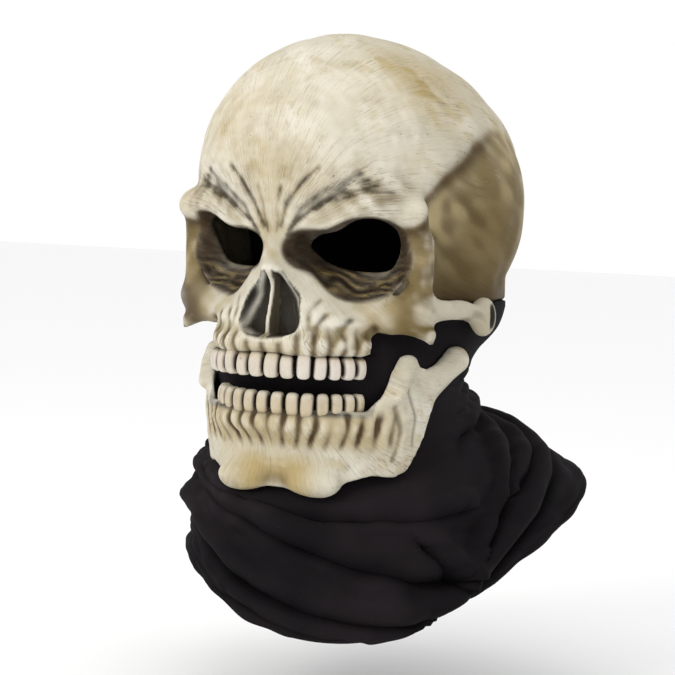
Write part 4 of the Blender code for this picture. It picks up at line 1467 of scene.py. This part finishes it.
def jersey_material():
    """Black knitted jersey with worn patches and a little lint."""
    made = Nodes("jersey_look")
    cloth = made.attribute("cloth").outputs["Vector"]
    space = made.space()
    ribs = made.bands(cloth, "X", 420.0, 0.6)
    loops = made.bands(cloth, "Y", 520.0, 0.8)
    knit = made.times(ribs, loops)
    fluff = made.noise(space, 900.0, 3.0, 0.7)
    tone = made.noise(space, 14.0, 3.0, 0.5)
    colour = made.mix(made.ramp(tone, 0.35, 0.70), JERSEY, JERSEY_WORN)
    colour = made.mix(made.times(knit, 0.30), colour, JERSEY_WORN)
    lint = made.ramp(fluff, 0.72, 0.80)
    colour = made.mix(made.times(lint, 0.25), colour, LINT)
    made.link(colour, made.shader.inputs["Base Color"])
    made.link(made.ramp(tone, 0.3, 0.7, 0.86, 0.96), made.shader.inputs["Roughness"])
    normal = made.bump(knit, 0.0004, 0.5)
    normal = made.bump(fluff, 0.0004, 0.35, normal)
    made.link(normal, made.shader.inputs["Normal"])
    made.shader.inputs["Specular IOR Level"].default_value = 0.12
    return made.material


def add_piece(name, mesh, material, node):
    mesh.materials.clear()
    mesh.materials.append(material)
    item = bpy.data.objects.new(name, mesh)
    bpy.context.scene.collection.objects.link(item)
    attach(item, "root")
    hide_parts(node)
    return item


def add_light(name, spot, size, power, colour):
    data = bpy.data.lights.new(name, "AREA")
    data.shape = "RECTANGLE"
    data.size = data.size_y = size
    data.energy = power
    data.color = colour
    item = bpy.data.objects.new(name, data)
    item.location = spot
    item.rotation_euler = (Vector(LIT_SPOT) - Vector(spot)).to_track_quat("-Z", "Y").to_euler()
    bpy.context.scene.collection.objects.link(item)


FLOOR_EXTENT = 6.0
FLOOR_GAP = 0.045
FLOOR_COLOUR = (0.93, 0.93, 0.93)
LIT_SPOT = (0.0, -0.02, -0.13)
# Lights: name, place, size, power, colour
LIGHTS = (
    ("key", (-0.35, -1.35, 0.70), 0.6, 9.0, (1.0, 0.985, 0.96)),
    ("top", (-0.1, -0.25, 1.2), 0.7, 1.5, (1.0, 1.0, 1.0)),
)
# Camera: turn round the object, rise and roll in degrees
CAMERA_ANGLES = (28, 4, 2)
CAMERA_TARGET = (-0.0098, -0.0052, -0.1543)
CAMERA_DISTANCE = 1.15
CAMERA_LENS = 115.3
SENSOR_WIDTH = 36.0


def studio():
    """Pale floor and surroundings, soft light, and the camera."""
    low = height_at(1.0) - COWL_DROP - FLOOR_GAP
    ways = ((-1, -1), (1, -1), (1, 1), (-1, 1))
    corners = [(x * FLOOR_EXTENT, y * FLOOR_EXTENT, low) for x, y in ways]
    mesh = mesh_of("floor", corners, [(0, 1, 2, 3)])
    made = Nodes("floor_look")
    made.shader.inputs["Base Color"].default_value = (*FLOOR_COLOUR, 1.0)
    made.shader.inputs["Roughness"].default_value = 0.9
    mesh.materials.append(made.material)
    floor = bpy.data.objects.new("floor", mesh)
    bpy.context.scene.collection.objects.link(floor)

    world = bpy.data.worlds.new("studio")
    world.use_nodes = True
    sky = world.node_tree.nodes["Background"]
    sky.inputs["Color"].default_value = (1.0, 1.0, 1.0, 1.0)
    sky.inputs["Strength"].default_value = 1.0
    bpy.context.scene.world = world
    bpy.context.scene.view_settings.view_transform = "Standard"
    for light in LIGHTS:
        add_light(*light)

    turn, rise, roll = (math.radians(angle) for angle in CAMERA_ANGLES)
    back = Vector((math.sin(turn) * math.cos(rise), -math.cos(turn) * math.cos(rise), math.sin(rise)))
    right = Vector((math.cos(turn), math.sin(turn), 0))
    up = back.cross(right)
    side = right * math.cos(roll) + up * math.sin(roll)
    top = up * math.cos(roll) - right * math.sin(roll)
    matrix = Matrix((side, top, back)).transposed().to_4x4()
    matrix.translation = Vector(CAMERA_TARGET) + back * CAMERA_DISTANCE
    data = bpy.data.cameras.new("camera")
    data.lens = CAMERA_LENS
    data.sensor_width = SENSOR_WIDTH
    camera = bpy.data.objects.new("camera", data)
    camera.matrix_world = matrix
    bpy.context.scene.collection.objects.link(camera)
    bpy.context.scene.camera = camera


def grid_box(drop_low, drop_high, front, back, wide):
    low = (0.0, front * HALF_LENGTH, height_at(drop_low))
    high = (wide * HALF_WIDTH, back * HALF_LENGTH, height_at(drop_high))
    return low, high


# The castings: drop range, front, back and half width of each box of points
skull_grid = Grid(skull, *grid_box(0.72, -0.01, -1.04, 1.02, 1.12), SKULL_STEP)
jaw_grid = Grid(jaw, *grid_box(1.01, 0.66, -1.0, 0.02, 0.95), JAW_STEP)

skull_mesh = thinned(skull_grid.surface("skull"), SKULL_TRIANGLES)
paint_skull(skull_mesh, skull_grid)
bone_look = latex_material("bone_look", 95.0, 0.52, 0.09)
add_piece("skull_casting", skull_mesh, bone_look, "skull_shell")

jaw_mesh = thinned(jaw_grid.surface("jaw"), JAW_TRIANGLES)
paint_jaw(jaw_mesh, jaw_grid)
jaw_look = latex_material("jaw_look", 80.0, 0.52, 0.12)
add_piece("jaw_casting", jaw_mesh, jaw_look, "jaw_shell")

# The two rows of teeth
upper = teeth("upper_row", UPPER_ARCH, UPPER_TEETH, 1)
paint_teeth(upper, TOOTH_PINK, 41)
upper_look = latex_material("upper_tooth_look", 30.0, 0.36, 0.35)
add_piece("upper_tooth_row", upper, upper_look, "upper_teeth")

lower = teeth("lower_row", LOWER_ARCH, LOWER_TEETH, 2)
paint_teeth(lower, TOOTH_TAN, 42)
lower_look = latex_material("lower_tooth_look", 30.0, 0.36, 0.35)
add_piece("lower_tooth_row", lower, lower_look, "lower_teeth")

# The hood, a single layer of jersey given its thickness inwards
fabric = hood_mesh((skull_grid, jaw_grid))
hood = add_piece("draped_hood", fabric, jersey_material(), "neck_hood")
cloth_wall = hood.modifiers.new("Cloth wall", "SOLIDIFY")
cloth_wall.thickness = FABRIC_WALL
cloth_wall.offset = -1.0

studio()
